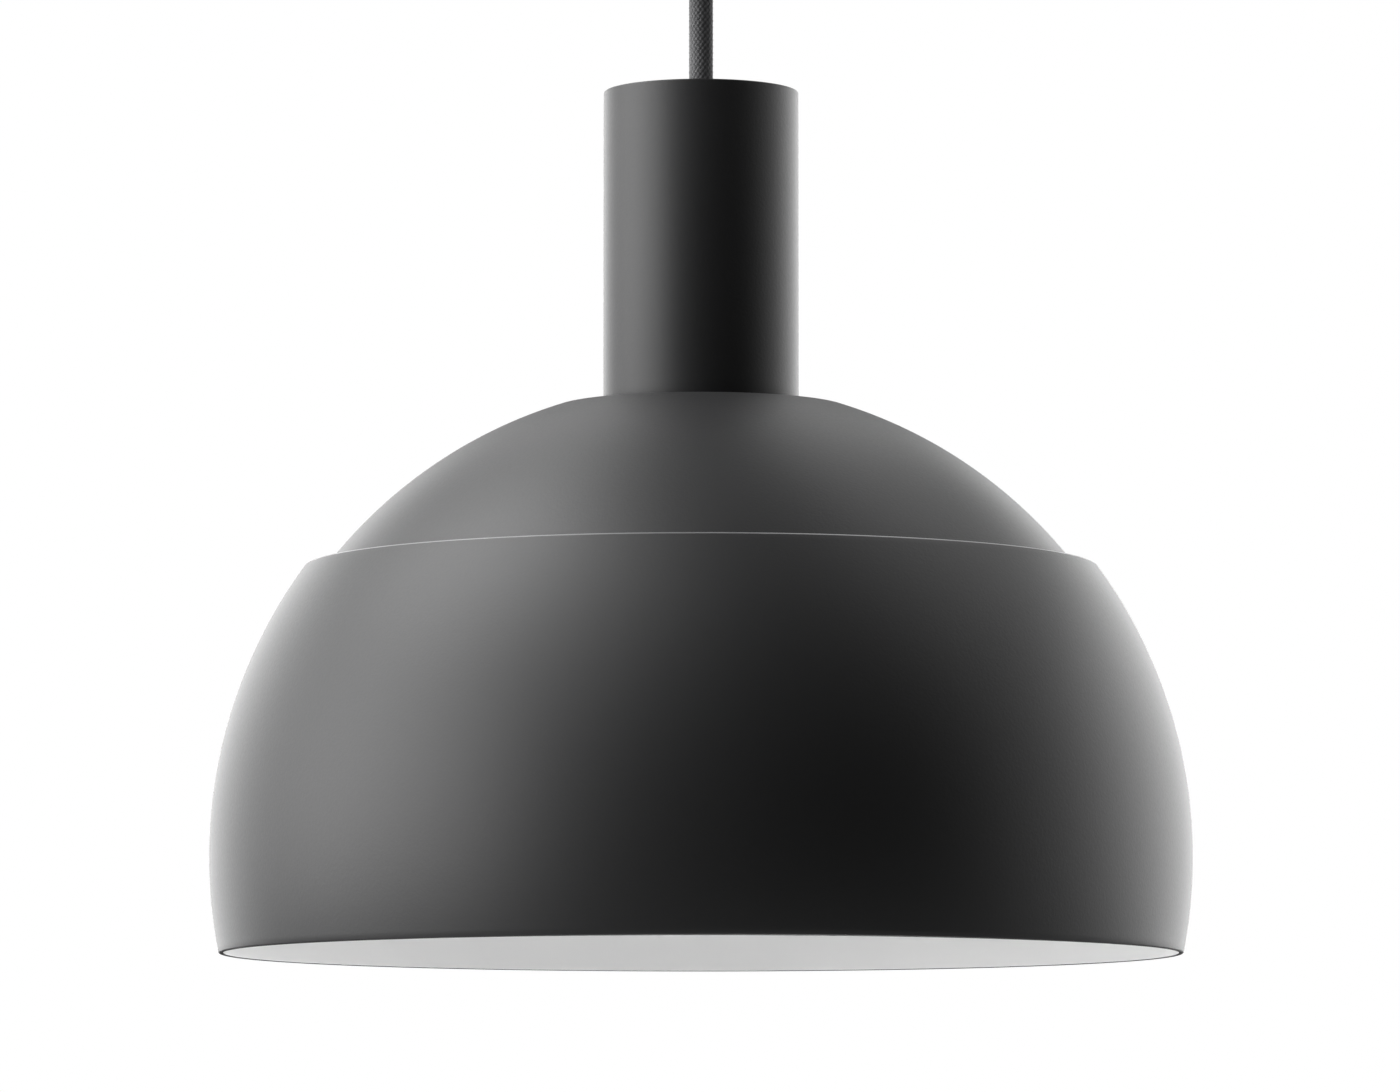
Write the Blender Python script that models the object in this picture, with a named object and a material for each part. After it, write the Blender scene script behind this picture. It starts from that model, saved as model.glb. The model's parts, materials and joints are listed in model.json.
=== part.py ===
"""A pendant ceiling light: a spun two-shell shade under a tubular socket cover, hung by its cable.

Frame: metres, +Z up. The origin is the middle of the bracket's top face, where the ceiling rose
meets the ceiling, so the lamp hangs at negative Z. Front is -Y. Every length below is a driving
dimension or follows from one.
"""

import math

import bmesh
import bpy
from mathutils import Vector

MM = 0.001
GAP = 0.3 * MM  # left between two pieces that rest on or fit in each other
WELD = 0.001 * MM  # points closer than this are one
SMOOTH_BELOW = math.radians(35)  # edges flatter than this are shaded round
SHEET = 1.5 * MM  # spun metal of the shade, the cover and the canopy

# Shade: both shells are parts of spheres with one centre. The dome starts behind the ring.
RING_SPHERE_RADIUS = 150 * MM
RING_TOP_RISE = 88.4 * MM  # above the spheres' centre
RING_RIM_DROP = 30 * MM  # below the spheres' centre
SHELL_GAP = 3.8 * MM  # from the dome's outside to the ring's inside
DOME_CROWN_RADIUS = 43.5 * MM  # where the flat crown would meet the sphere with no fillet
DOME_CROWN_FILLET = 8 * MM
DOME_OVERLAP = 20 * MM  # how far the dome reaches down behind the ring
SPACER_COUNT = 3
SPACER_SIZE = 12 * MM
SPACER_SCREW_RADIUS = 1.8 * MM

# Socket cover: the tube above the shade.
COVER_RADIUS = 30 * MM
COVER_LENGTH = 97 * MM
COVER_EDGE = 1 * MM

# Cable: a round three-core flex with a woven sheath.
CABLE_RADIUS = 3.75 * MM
CABLE_DROP = 52 * MM  # from the rose's trumpet to the top of the cover
WIRE_RADIUS = 1.1 * MM
CORE_STUB = 1.5 * MM  # straight before a core bends away
SHEATH_PAST_GRIP = 2 * MM

# Ceiling rose.
CANOPY_RADIUS = 52 * MM
CANOPY_HEIGHT = 58 * MM
CANOPY_EDGE = 2 * MM
CANOPY_SHADOW_GAP = 0.5 * MM  # between the canopy's rim and the ceiling
BRACKET_WIDTH = 18 * MM
BRACKET_EAR = 13 * MM
BRACKET_EAR_GAP = 1.5 * MM  # from the bent ears to the inside of the canopy
BRACKET_SLOT_SPACING = 55 * MM
BRACKET_SLOT = (12 * MM, 5 * MM)
CANOPY_SCREW_RADIUS = 1.8 * MM
CANOPY_SCREW_DROP = 8 * MM  # below the ceiling
TRUMPET_FLANGE = 3 * MM
TRUMPET_FLANGE_WIDTH = 3.7 * MM
TRUMPET_DEPTH = 9 * MM  # from the swing's pivot down to the mouth
TRUMPET_PLAY = 0.55 * MM  # around the cable at the throat
TRUMPET_FLARE = 4 * MM  # from the throat's radius to the mouth's
TRUMPET_LIP = 0.7 * MM
ROSE_STEM_ABOVE_FLOOR = 12 * MM
ROSE_NUT_HEIGHT = 5 * MM
ROSE_NUT_WALL = 5.4 * MM  # from the nut's bore to its corners
GRIP_HEIGHT = 10 * MM
GRIP_WALL = 5.95 * MM
ROSE_GRIP_SCREW_RADIUS = 1.8 * MM

# Terminal block in the rose: three poles side by side along Y, each with its bore along X.
BLOCK = (16 * MM, 32 * MM, 13.4 * MM)
POLE_PITCH = 10 * MM
SLEEVE_PLAY = 0.4 * MM
SLEEVE_WALL = 0.8 * MM
POLE_SCREW_OFFSET = 4 * MM
POLE_SCREW_RADIUS = 1.9 * MM

# Lampholder and bulb cap of the common 27 mm screw size.
SHELL_BORE = 13.5 * MM
SHELL_LENGTH = 24.7 * MM
SHELL_WALL = 0.6 * MM
THREAD_DEPTH = 0.7 * MM
THREAD_PITCH = 3.63 * MM
SKIRT_WALL = 3.6 * MM
SKIRT_THREAD_DEPTH = 0.75 * MM
SKIRT_THREAD_PITCH = 4 * MM
SKIRT_THREAD_LENGTH = 26 * MM
SKIRT_BELOW_COVER = 13.8 * MM
HOLDER_LIP = 0.25 * MM  # from the skirt's thread out to the holder's side
HOLDER_WALL = 2.2 * MM
HOLDER_BODY_LENGTH = 52 * MM
HOLDER_CAP_LENGTH = 19 * MM
CAP_NECK_WALL = 3.7 * MM
CAP_NECK_HEIGHT = 8.5 * MM
CAP_ROOF_DROP = 3 * MM  # from the neck's foot to the underside of the roof
CAP_SHOULDER_DROP = 5.5 * MM  # from the neck's foot to the full radius
HOLDER_COLLAR = 8 * MM  # the full-radius stretch at the top of the body
HOLDER_COLLAR_SLOPE = 1.5 * MM
TERMINAL_SPACE = 2.3 * MM  # above the contact block, where the terminal screws stand
CONTACT_BLOCK_HEIGHT = 13.4 * MM
TERMINAL_OFFSET = 9 * MM
TERMINAL_SCREW_RADIUS = 1.4 * MM
TERMINAL_SCREW_LENGTH = 6 * MM
EARTH_PLATE = 1.5 * MM
EARTH_PLATE_WIDTH = 3.5 * MM
CONTACT_DIP = 1.3 * MM
CONTACT_SHEET = 0.5 * MM
CONTACT_WIDTH = 5 * MM
CONTACT_REACH = 7 * MM  # from the axis to the strip's ends
CONTACT_BENDS = (3.5 * MM, 1.5 * MM)  # where the dip starts and where it is flat

# Head: how the cover, the cable and the lampholder hang together.
BUSHING_FLANGE = 2 * MM
BUSHING_FLANGE_WIDTH = 2.6 * MM
BUSHING_WALL = 2.35 * MM
BUSHING_STEM_LENGTH = 14 * MM
WASHER_THICKNESS = 1 * MM
WASHER_WIDTH = 4.3 * MM
WASHER_TOOTH = 0.88  # the radius between two teeth over the full radius
COVER_NUT_HEIGHT = 5 * MM
COVER_NUT_WALL = 5.3 * MM
HEAD_GRIP_NECK = 4.2 * MM
LOCK_SCREW_RADIUS = 1.3 * MM
STEM_WALL = 0.95 * MM
STEM_INTO_GRIP = 3.5 * MM
STEM_INTO_CAP = 14.5 * MM

# Bulb.
BULB_LENGTH = 108 * MM
BULB_RADIUS = 30 * MM
BULB_WALL = 1.2 * MM
BULB_CAP_LENGTH = 28.1 * MM
HOUSING_LENGTH = 33.2 * MM
HOUSING_SWELL = ((0, 0), (0.13, 0.08), (0.37, 0.3), (0.73, 0.68), (1, 1))  # down the housing, outwards
BOARD_SHARE = 0.84  # how far out of the housing's swell the board reaches
GLOBE_STEPS = 6
BOARD_THICKNESS = 1.5 * MM
BOARD_LIFT = 4 * MM  # above the housing's lip
DRIVER = (18 * MM, 1.6 * MM, 18 * MM)
DRIVER_DROP = 15 * MM  # from the housing's top to the board's middle
CAP_END_RADIUS = 8 * MM  # the cap's end round the insulator
CAP_END_DROP = 5.2 * MM  # from the tip to the cap's end
CAP_LIP = 3 * MM  # the plain stretch below the cap's thread
TIP_RADIUS = 4.8 * MM
TIP_HEIGHT = 1.6 * MM
INSULATOR_SINK = 1.8 * MM  # how far the insulator reaches into the cap

# Shade ring: the collar that clamps the shade up against the cover.
SHADE_RING_WALL = 4.4 * MM
SHADE_RING_FLANGE = 3 * MM
SHADE_RING_FLANGE_WIDTH = 2.5 * MM
SHADE_RING_HEIGHT = 10 * MM
SHADE_RING_RIB = 0.8 * MM

# Sizes that follow.
DOME_SPHERE_RADIUS = RING_SPHERE_RADIUS - SHEET - SHELL_GAP
DOME_FLAT_RISE = math.sqrt(DOME_SPHERE_RADIUS**2 - DOME_CROWN_RADIUS**2)
CABLE_FIT = CABLE_RADIUS + GAP
WIRE_SPREAD = (2 * WIRE_RADIUS + 1.5 * GAP) / math.sqrt(2)  # how far each core lies from the cable's middle
SLEEVE_BORE = WIRE_RADIUS + SLEEVE_PLAY
POLE_BORE = SLEEVE_BORE + SLEEVE_WALL + GAP
TRUMPET_THROAT = CABLE_FIT + TRUMPET_PLAY
TRUMPET_MOUTH = TRUMPET_THROAT + TRUMPET_FLARE
ROSE_STEM_RADIUS = TRUMPET_MOUTH + TRUMPET_LIP
GRIP_RADIUS = CABLE_FIT + GRIP_WALL
BUSHING_STEM_RADIUS = CABLE_FIT + BUSHING_WALL
STEM_RADIUS = CABLE_FIT + STEM_WALL
STEM_FIT = STEM_RADIUS + GAP
BULB_CREST = SHELL_BORE - GAP
SKIRT_BORE = SHELL_BORE + THREAD_DEPTH + SHELL_WALL + 2 * GAP
SKIRT_THREAD_RADIUS = SKIRT_BORE + SKIRT_WALL + SKIRT_THREAD_DEPTH
HOLDER_RADIUS = SKIRT_THREAD_RADIUS + HOLDER_LIP
SHADE_RING_BORE = SKIRT_THREAD_RADIUS + 1.2 * GAP

# Heights that follow, all below the ceiling.
ROSE_FLOOR = -CANOPY_HEIGHT
TRUMPET_MOUTH_Z = ROSE_FLOOR - GAP - TRUMPET_FLANGE
PIVOT_Z = TRUMPET_MOUTH_Z + TRUMPET_DEPTH
HEAD_TOP = TRUMPET_MOUTH_Z - CABLE_DROP
COVER_BOTTOM = HEAD_TOP - COVER_LENGTH
DOME_FLAT_Z = COVER_BOTTOM - GAP
SPHERE_CENTRE_Z = DOME_FLAT_Z - DOME_FLAT_RISE
SHADE_RING_TOP = DOME_FLAT_Z - SHEET - GAP
NUT_TOP = HEAD_TOP - SHEET - WASHER_THICKNESS - 2 * GAP
HEAD_GRIP_TOP = NUT_TOP - COVER_NUT_HEIGHT - GAP
HEAD_GRIP_NECK_TOP = HEAD_TOP - BUSHING_STEM_LENGTH - GAP
HEAD_GRIP_NECK_BOTTOM = HEAD_GRIP_NECK_TOP - HEAD_GRIP_NECK
HEAD_GRIP_BOTTOM = HEAD_GRIP_NECK_BOTTOM - GAP - STEM_INTO_GRIP
SKIRT_END = COVER_BOTTOM - SKIRT_BELOW_COVER
HOLDER_JOINT = SKIRT_END + HOLDER_BODY_LENGTH
CAP_TOP = HOLDER_JOINT + HOLDER_CAP_LENGTH
STEM_END = CAP_TOP - STEM_INTO_CAP
BLOCK_TOP = HOLDER_JOINT - TERMINAL_SPACE
HOLDER_SHELF = BLOCK_TOP - CONTACT_BLOCK_HEIGHT - GAP
BULB_TIP = HOLDER_SHELF - GAP - CONTACT_DIP - CONTACT_SHEET - GAP

SCREW_HEAD_RATIO = 1.9  # a pan head's radius and height over its shank's radius
SCREW_HEAD_HEIGHT = 1.2
SCREW_HEAD_CROWN = 0.7  # the flat top of the head over its full radius
SLOT_CUTTER_LENGTH = 40 * MM  # wider than any screw's head
GRUB_SLOT = (0.7 * MM, 0.8 * MM)  # width and depth

HEX = 6
ROUND = 24  # sides of a small round piece
WIDE = 48  # sides of the shade, the cover and the canopy
SMALL = 12  # sides of a screw
RING_STEPS = 7  # flats that follow the ring's curve from rim to top edge
DOME_STEPS = 6
CABLE_SPANS = 5
BALL_RINGS = 8


# ---------------------------------------------------------------- finishes


def finish(name, colour, roughness, metallic=0.0):
    """A plain Principled material."""
    made = bpy.data.materials.new(name)
    made.use_nodes = True
    shader = made.node_tree.nodes["Principled BSDF"]
    shader.inputs["Base Color"].default_value = (*colour, 1.0)
    shader.inputs["Roughness"].default_value = roughness
    shader.inputs["Metallic"].default_value = metallic
    return made


for leftover in list(bpy.data.objects):
    bpy.data.objects.remove(leftover, do_unlink=True)

BLACK_COAT = finish("black_powder_coat", (0.025, 0.025, 0.026), 0.55)
WHITE_COAT = finish("white_powder_coat", (0.82, 0.82, 0.81), 0.5)
TEXTILE = finish("woven_textile", (0.05, 0.05, 0.052), 0.85)
NYLON = finish("black_nylon", (0.03, 0.03, 0.03), 0.45)
PHENOLIC = finish("black_phenolic", (0.02, 0.018, 0.017), 0.35)
ZINC = finish("zinc_plated_steel", (0.62, 0.63, 0.65), 0.35, 1.0)
BRASS = finish("brass", (0.78, 0.62, 0.3), 0.3, 1.0)
CERAMIC = finish("white_ceramic", (0.85, 0.83, 0.78), 0.4)
CLEAR_NYLON = finish("natural_nylon", (0.8, 0.79, 0.74), 0.5)
BROWN_WIRE = finish("brown_insulation", (0.2, 0.09, 0.04), 0.5)
BLUE_WIRE = finish("blue_insulation", (0.05, 0.18, 0.5), 0.5)
EARTH_WIRE = finish("green_yellow_insulation", (0.3, 0.5, 0.08), 0.5)
OPAL = finish("opal_polycarbonate", (0.93, 0.92, 0.9), 0.35)
WHITE_PLASTIC = finish("white_plastic", (0.85, 0.85, 0.84), 0.35)
NICKEL = finish("nickel_plate", (0.7, 0.7, 0.68), 0.25, 1.0)
BLACK_GLASS = finish("black_glass_insulator", (0.02, 0.02, 0.03), 0.1)
ALUMINIUM = finish("aluminium_board", (0.8, 0.8, 0.8), 0.4, 1.0)
CIRCUIT = finish("circuit_board", (0.05, 0.2, 0.08), 0.5)


# ---------------------------------------------------------------- making and placing


def pivot(name, z, parent=None):
    """An empty on the lamp's axis, which the pieces that move together hang from."""
    made = bpy.data.objects.new(name, None)
    bpy.context.scene.collection.objects.link(made)
    made.parent = parent
    made.location = (0, 0, z - (parent.matrix_world.translation.z if parent else 0))
    bpy.context.view_layer.update()
    return made


def put(obj, place, parent=None, direction=None):
    """Links obj with its own origin at a world place, its local +Z along direction."""
    if obj.name not in bpy.context.scene.collection.objects:
        bpy.context.scene.collection.objects.link(obj)
    obj.parent = parent
    origin = parent.matrix_world.translation if parent else Vector((0, 0, 0))
    obj.location = Vector(place) - origin
    if direction is not None:
        obj.rotation_mode = "QUATERNION"
        obj.rotation_quaternion = Vector(direction).to_track_quat("Z", "Y")
    return obj


def piece(name, bm, look):
    """A new object from a bmesh, welded, facing outwards and shaded smooth but for its sharp edges."""
    bmesh.ops.remove_doubles(bm, verts=bm.verts, dist=WELD)
    bmesh.ops.recalc_face_normals(bm, faces=bm.faces)
    mesh = bpy.data.meshes.new(name)
    bm.to_mesh(mesh)
    bm.free()
    mesh.shade_smooth()
    mesh.set_sharp_from_angle(angle=SMOOTH_BELOW)
    mesh.materials.append(look)
    return bpy.data.objects.new(name, mesh)


def sag(radius, flats):
    """How far inside its circle a polygon of that many flats comes."""
    return radius * (1 - math.cos(math.pi / flats))


def arc(centre_r, centre_z, radius, start, end, steps):
    """Points (radius, height) along an arc from one angle to another, in radians, both ends included."""
    angles = [start + (end - start) * i / steps for i in range(steps + 1)]
    return [(centre_r + radius * math.cos(a), centre_z + radius * math.sin(a)) for a in angles]


def turned(name, outline, look, sides=ROUND):
    """A solid of revolution about Z. An outline that starts and ends on the axis is solid there."""
    bm = bmesh.new()
    verts = [bm.verts.new((r, 0, z)) for r, z in outline]
    edges = [bm.edges.new(pair) for pair in zip(verts, verts[1:])]
    if outline[0][0] > 0 or outline[-1][0] > 0:
        edges.append(bm.edges.new((verts[-1], verts[0])))
    bmesh.ops.spin(
        bm,
        geom=verts + edges,
        cent=(0, 0, 0),
        axis=(0, 0, 1),
        angle=math.tau,
        steps=sides,
        use_merge=True,
    )
    return piece(name, bm, look)


def washer_outline(inner, outer, top, bottom):
    """A plain ring's cross-section."""
    return [(outer, top), (outer, bottom), (inner, bottom), (inner, top)]


def prism(name, radius, top, bottom, sides, look):
    """A straight solid prism about Z."""
    bm = bmesh.new()
    bmesh.ops.create_cone(
        bm, cap_ends=True, segments=sides, radius1=radius, radius2=radius, depth=top - bottom
    )
    bmesh.ops.translate(bm, verts=bm.verts, vec=(0, 0, (top + bottom) / 2))
    return piece(name, bm, look)


def slab(name, size, look, centre=(0, 0, 0)):
    """A box of that size about its own centre."""
    bm = bmesh.new()
    bmesh.ops.create_cube(bm, size=1)
    bmesh.ops.scale(bm, vec=size, verts=bm.verts)
    bmesh.ops.translate(bm, vec=centre, verts=bm.verts)
    return piece(name, bm, look)


def extruded(name, outline, width, look):
    """A solid of that outline in X and Z and that width in Y, about Y = 0."""
    bm = bmesh.new()
    face = bm.faces.new([bm.verts.new((x, -width / 2, z)) for x, z in outline])
    grown = bmesh.ops.extrude_face_region(bm, geom=[face])["geom"]
    far_side = [v for v in grown if isinstance(v, bmesh.types.BMVert)]
    bmesh.ops.translate(bm, vec=(0, width, 0), verts=far_side)
    return piece(name, bm, look)


def as_cutter(obj):
    obj.hide_render = True
    obj.display_type = "WIRE"
    return obj


def cut(target, cutter):
    """Takes the cutter's shape out of the target."""
    boolean = target.modifiers.new("cut_" + cutter.name, "BOOLEAN")
    boolean.operation = "DIFFERENCE"
    boolean.solver = "EXACT"
    boolean.object = as_cutter(cutter)


def drill(target, radius, start, end, sides=SMALL):
    """A round hole through the target, from one world point to another."""
    start, end = Vector(start), Vector(end)
    bit = prism(f"{target.name}_drill", radius, (end - start).length, 0, sides, NYLON)
    cut(target, put(bit, start, direction=end - start))


def screw(name, shank, length, look):
    """A pan-head screw along its own Z: the underside of its head at 0 and its shank below."""
    head = shank * SCREW_HEAD_RATIO
    tall = shank * SCREW_HEAD_HEIGHT
    outline = [(0, -length), (shank, -length), (shank, 0), (head, 0), (head, tall / 2)]
    outline += [(head * SCREW_HEAD_CROWN, tall), (0, tall)]
    return turned(name, outline, look, SMALL)


def slot(target, width, depth, top, place, parent, direction):
    """A screwdriver slot across the top of a screw that stands at that place."""
    blade = slab(
        f"{target.name}_slot", (SLOT_CUTTER_LENGTH, width, depth * 2), NYLON, centre=(0, 0, top)
    )
    cut(target, put(blade, place, parent, direction))


def put_screw(obj, shank, place, parent, direction):
    """Places a screw with its head's underside there and cuts its slot."""
    put(obj, place, parent, direction)
    tall = shank * SCREW_HEAD_HEIGHT
    slot(obj, shank / 2, tall / 2, tall, place, parent, direction)


def grub(name, radius, length, place, parent, direction, look):
    """A headless screw whose slotted outer end is at that place, facing along direction."""
    made = put(prism(name, radius, 0, -length, SMALL, look), place, parent, direction)
    slot(made, *GRUB_SLOT, 0, place, parent, direction)


def lock(target, name, radius, inner, outer, z, parent):
    """A grub screw along Y in its own hole, through the wall of a round piece."""
    drill(target, radius + GAP, (0, inner - MM, z), (0, outer + MM, z))
    grub(name, radius, outer - inner, (0, outer, z), parent, (0, 1, 0), ZINC)


def hex_nut(name, bore, wall, height, bottom, parent):
    """A nut about the lamp's axis, its bottom face at that height."""
    nut = put(prism(name, bore + wall, height, 0, HEX, ZINC), (0, 0, bottom), parent)
    drill(nut, bore, (0, 0, bottom - MM), (0, 0, bottom + height + MM), ROUND)


def smooth_route(points, steps=3):
    """A smooth curve through hand-chosen points, as closer points (Catmull-Rom)."""
    ends = [2 * points[0] - points[1]] + points + [2 * points[-1] - points[-2]]
    route = []
    for a, b, c, d in zip(ends, ends[1:], ends[2:], ends[3:]):
        for i in range(steps):
            t = i / steps
            bend = (2 * a - 5 * b + 4 * c - d) * t**2 + (3 * b - a - 3 * c + d) * t**3
            route.append(0.5 * (2 * b + (c - a) * t + bend))
    return route + [points[-1]]


def tube(name, points, radius, look, parent):
    """A round cord along world points, as a curve with filled ends."""
    curve = bpy.data.curves.new(name, "CURVE")
    curve.dimensions = "3D"
    curve.bevel_depth = radius
    curve.bevel_resolution = 2
    curve.use_fill_caps = True
    line = curve.splines.new("POLY")
    line.points.add(len(points) - 1)
    origin = parent.matrix_world.translation
    for point, at in zip(line.points, points):
        point.co = (*(Vector(at) - origin), 1)
    curve.materials.append(look)
    return put(bpy.data.objects.new(name, curve), origin, parent)


def core_starts(z, turn):
    """Where the live, neutral and earth cores leave the sheath, the earth at that angle."""
    angles = [math.radians(turn + a) for a in (90, -90, 0)]
    return [Vector((WIRE_SPREAD * math.cos(a), WIRE_SPREAD * math.sin(a), z)) for a in angles]


# ---------------------------------------------------------------- groups that move together

rose = pivot("rose_frame", 0)
neck = pivot("neck_pivot", PIVOT_Z, rose)
pendant = pivot("pendant_pivot", PIVOT_Z, neck)
shade = pivot("shade_travel", DOME_FLAT_Z, pendant)
collar = pivot("collar_axis", SHADE_RING_TOP, shade)
bulb_travel = pivot("bulb_travel", BULB_TIP, pendant)
bulb = pivot("bulb_axis", BULB_TIP, bulb_travel)


# ---------------------------------------------------------------- ceiling rose


def make_bracket():
    """A strip bent down at both ends, slotted for the ceiling's screws."""
    half = CANOPY_RADIUS - SHEET - BRACKET_EAR_GAP
    outline = [
        (-half, 0),
        (half, 0),
        (half, -BRACKET_EAR),
        (half - SHEET, -BRACKET_EAR),
        (half - SHEET, -SHEET),
        (SHEET - half, -SHEET),
        (SHEET - half, -BRACKET_EAR),
        (-half, -BRACKET_EAR),
    ]
    bracket = put(extruded("ceiling_bracket", outline, BRACKET_WIDTH, ZINC), (0, 0, 0), rose)
    for side in (-1, 1):
        slotted = slab(f"bracket_slot_{side}", (*BRACKET_SLOT, 4 * SHEET), ZINC)
        cut(bracket, put(slotted, (side * BRACKET_SLOT_SPACING / 2, 0, -SHEET / 2)))
        edge = side * half
        begin = (edge - side * 4 * MM, 0, -CANOPY_SCREW_DROP)
        end = (edge + side * MM, 0, -CANOPY_SCREW_DROP)
        drill(bracket, CANOPY_SCREW_RADIUS + GAP, begin, end)


def make_canopy():
    """The cup that hides the wiring, and the two screws that hold it to the bracket's ears."""
    outer, inner = CANOPY_RADIUS, CANOPY_RADIUS - SHEET
    hole = ROSE_STEM_RADIUS + GAP
    outline = [(outer, -CANOPY_SHADOW_GAP)]
    outline += arc(outer - CANOPY_EDGE, ROSE_FLOOR + CANOPY_EDGE, CANOPY_EDGE, 0, -math.pi / 2, 2)
    outline += [(hole, ROSE_FLOOR), (hole, ROSE_FLOOR + SHEET), (inner, ROSE_FLOOR + SHEET)]
    outline += [(inner, -CANOPY_SHADOW_GAP)]
    cup = put(turned("canopy_cup", outline, BLACK_COAT, WIDE), (0, 0, 0), rose)
    length = outer + GAP - (inner - BRACKET_EAR_GAP - SHEET) + MM
    for side, name in ((-1, "left"), (1, "right")):
        begin = (side * (inner - 2 * MM), 0, -CANOPY_SCREW_DROP)
        end = (side * (outer + 2 * MM), 0, -CANOPY_SCREW_DROP)
        drill(cup, CANOPY_SCREW_RADIUS + GAP, begin, end)
        held = screw(f"canopy_screw_{name}", CANOPY_SCREW_RADIUS, length, BLACK_COAT)
        place = (side * (outer + GAP), 0, -CANOPY_SCREW_DROP)
        put_screw(held, CANOPY_SCREW_RADIUS, place, rose, (side, 0, 0))


def make_rose_outlet():
    """The trumpet that the cable swings in, its nut, and the grip that holds the cable's sheath."""
    top = ROSE_FLOOR + ROSE_STEM_ABOVE_FLOOR
    flange_top = ROSE_FLOOR - GAP
    flange = ROSE_STEM_RADIUS + TRUMPET_FLANGE_WIDTH
    trumpet = [
        (ROSE_STEM_RADIUS, top),
        (ROSE_STEM_RADIUS, flange_top),
        (flange, flange_top),
        (flange, TRUMPET_MOUTH_Z + MM),
        (flange - MM, TRUMPET_MOUTH_Z),
        (TRUMPET_MOUTH, TRUMPET_MOUTH_Z),
        (TRUMPET_THROAT, PIVOT_Z),
        (TRUMPET_THROAT, top),
    ]
    put(turned("rose_bushing", trumpet, NYLON), (0, 0, 0), rose)

    nut_bottom = ROSE_FLOOR + SHEET + GAP
    hex_nut("rose_nut", ROSE_STEM_RADIUS + GAP, ROSE_NUT_WALL, ROSE_NUT_HEIGHT, nut_bottom, rose)

    outline = washer_outline(CABLE_FIT, GRIP_RADIUS, top + GAP + GRIP_HEIGHT, top + GAP)
    grip = put(turned("rose_cord_grip", outline, NYLON), (0, 0, 0), rose)
    middle = top + GAP + GRIP_HEIGHT / 2
    lock(grip, "rose_grip_screw", ROSE_GRIP_SCREW_RADIUS, CABLE_FIT, GRIP_RADIUS, middle, rose)


def make_rose_wiring():
    """The end of the cable in the rose, its three cores and the block that joins them to the mains."""
    sheath_end = ROSE_FLOOR + ROSE_STEM_ABOVE_FLOOR + GAP + GRIP_HEIGHT + SHEATH_PAST_GRIP
    start = PIVOT_Z + CABLE_FIT
    line = [(0, 0, z) for z in (start, (start + sheath_end) / 2, sheath_end)]
    tube("rose_cable", line, CABLE_RADIUS, TEXTILE, rose)

    block_top = -SHEET - GAP
    middle = block_top - BLOCK[2] / 2
    bottom = block_top - BLOCK[2]
    block = put(slab("terminal_block", BLOCK, CLEAR_NYLON), (0, 0, middle), rose)
    poles = {"live": -POLE_PITCH, "earth": 0, "neutral": POLE_PITCH}
    for name, y in poles.items():
        drill(block, POLE_BORE, (-BLOCK[0], y, middle), (BLOCK[0], y, middle))
        sleeve = turned(
            f"terminal_sleeve_{name}",
            washer_outline(SLEEVE_BORE, POLE_BORE - GAP, BLOCK[0] / 2 - MM, MM - BLOCK[0] / 2),
            BRASS,
            SMALL,
        )
        put(sleeve, (0, y, middle), rose, (1, 0, 0))
        for side, end in ((-1, "lamp"), (1, "mains")):
            x = side * POLE_SCREW_OFFSET
            drill(block, POLE_SCREW_RADIUS + GAP, (x, y, bottom - MM), (x, y, middle - POLE_BORE / 2))
            length = middle - POLE_BORE - bottom - 2 * GAP
            place = (x, y, bottom + GAP)
            made = f"terminal_screw_{name}_{end}"
            grub(made, POLE_SCREW_RADIUS, length, place, rose, (0, 0, -1), BRASS)

    entry = -BLOCK[0] / 2
    cores = (("live", BROWN_WIRE), ("neutral", BLUE_WIRE), ("earth", EARTH_WIRE))
    for (name, look), begin in zip(cores, core_starts(sheath_end + GAP, 180)):
        y = poles[name]
        route = [
            begin,
            begin + Vector((0, 0, CORE_STUB + (bottom - sheath_end) / 4)),
            Vector((entry, y * 0.7, (sheath_end + bottom) / 2)),
            Vector((entry - 6.5 * MM, y, middle - 4 * MM)),
            Vector((entry - 4 * MM, y, middle - 0.4 * MM)),
            Vector((entry, y, middle)),
            Vector((entry + 4 * MM, y, middle)),
        ]
        tube(f"rose_wire_{name}", smooth_route(route), WIRE_RADIUS, look, rose)


def make_cable():
    """The hanging cable, and the ball of cable at the swing's pivot that its two axes cross in."""
    ball = bmesh.new()
    bmesh.ops.create_uvsphere(ball, u_segments=SMALL, v_segments=BALL_RINGS, radius=CABLE_RADIUS)
    put(piece("cable_neck", ball, TEXTILE), (0, 0, PIVOT_Z), neck)
    top = PIVOT_Z - CABLE_FIT
    bottom = HEAD_GRIP_NECK_BOTTOM - SHEATH_PAST_GRIP
    line = [(0, 0, top + (bottom - top) * i / CABLE_SPANS) for i in range(CABLE_SPANS + 1)]
    tube("hanging_cable", line, CABLE_RADIUS, TEXTILE, pendant)


# ---------------------------------------------------------------- head


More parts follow.
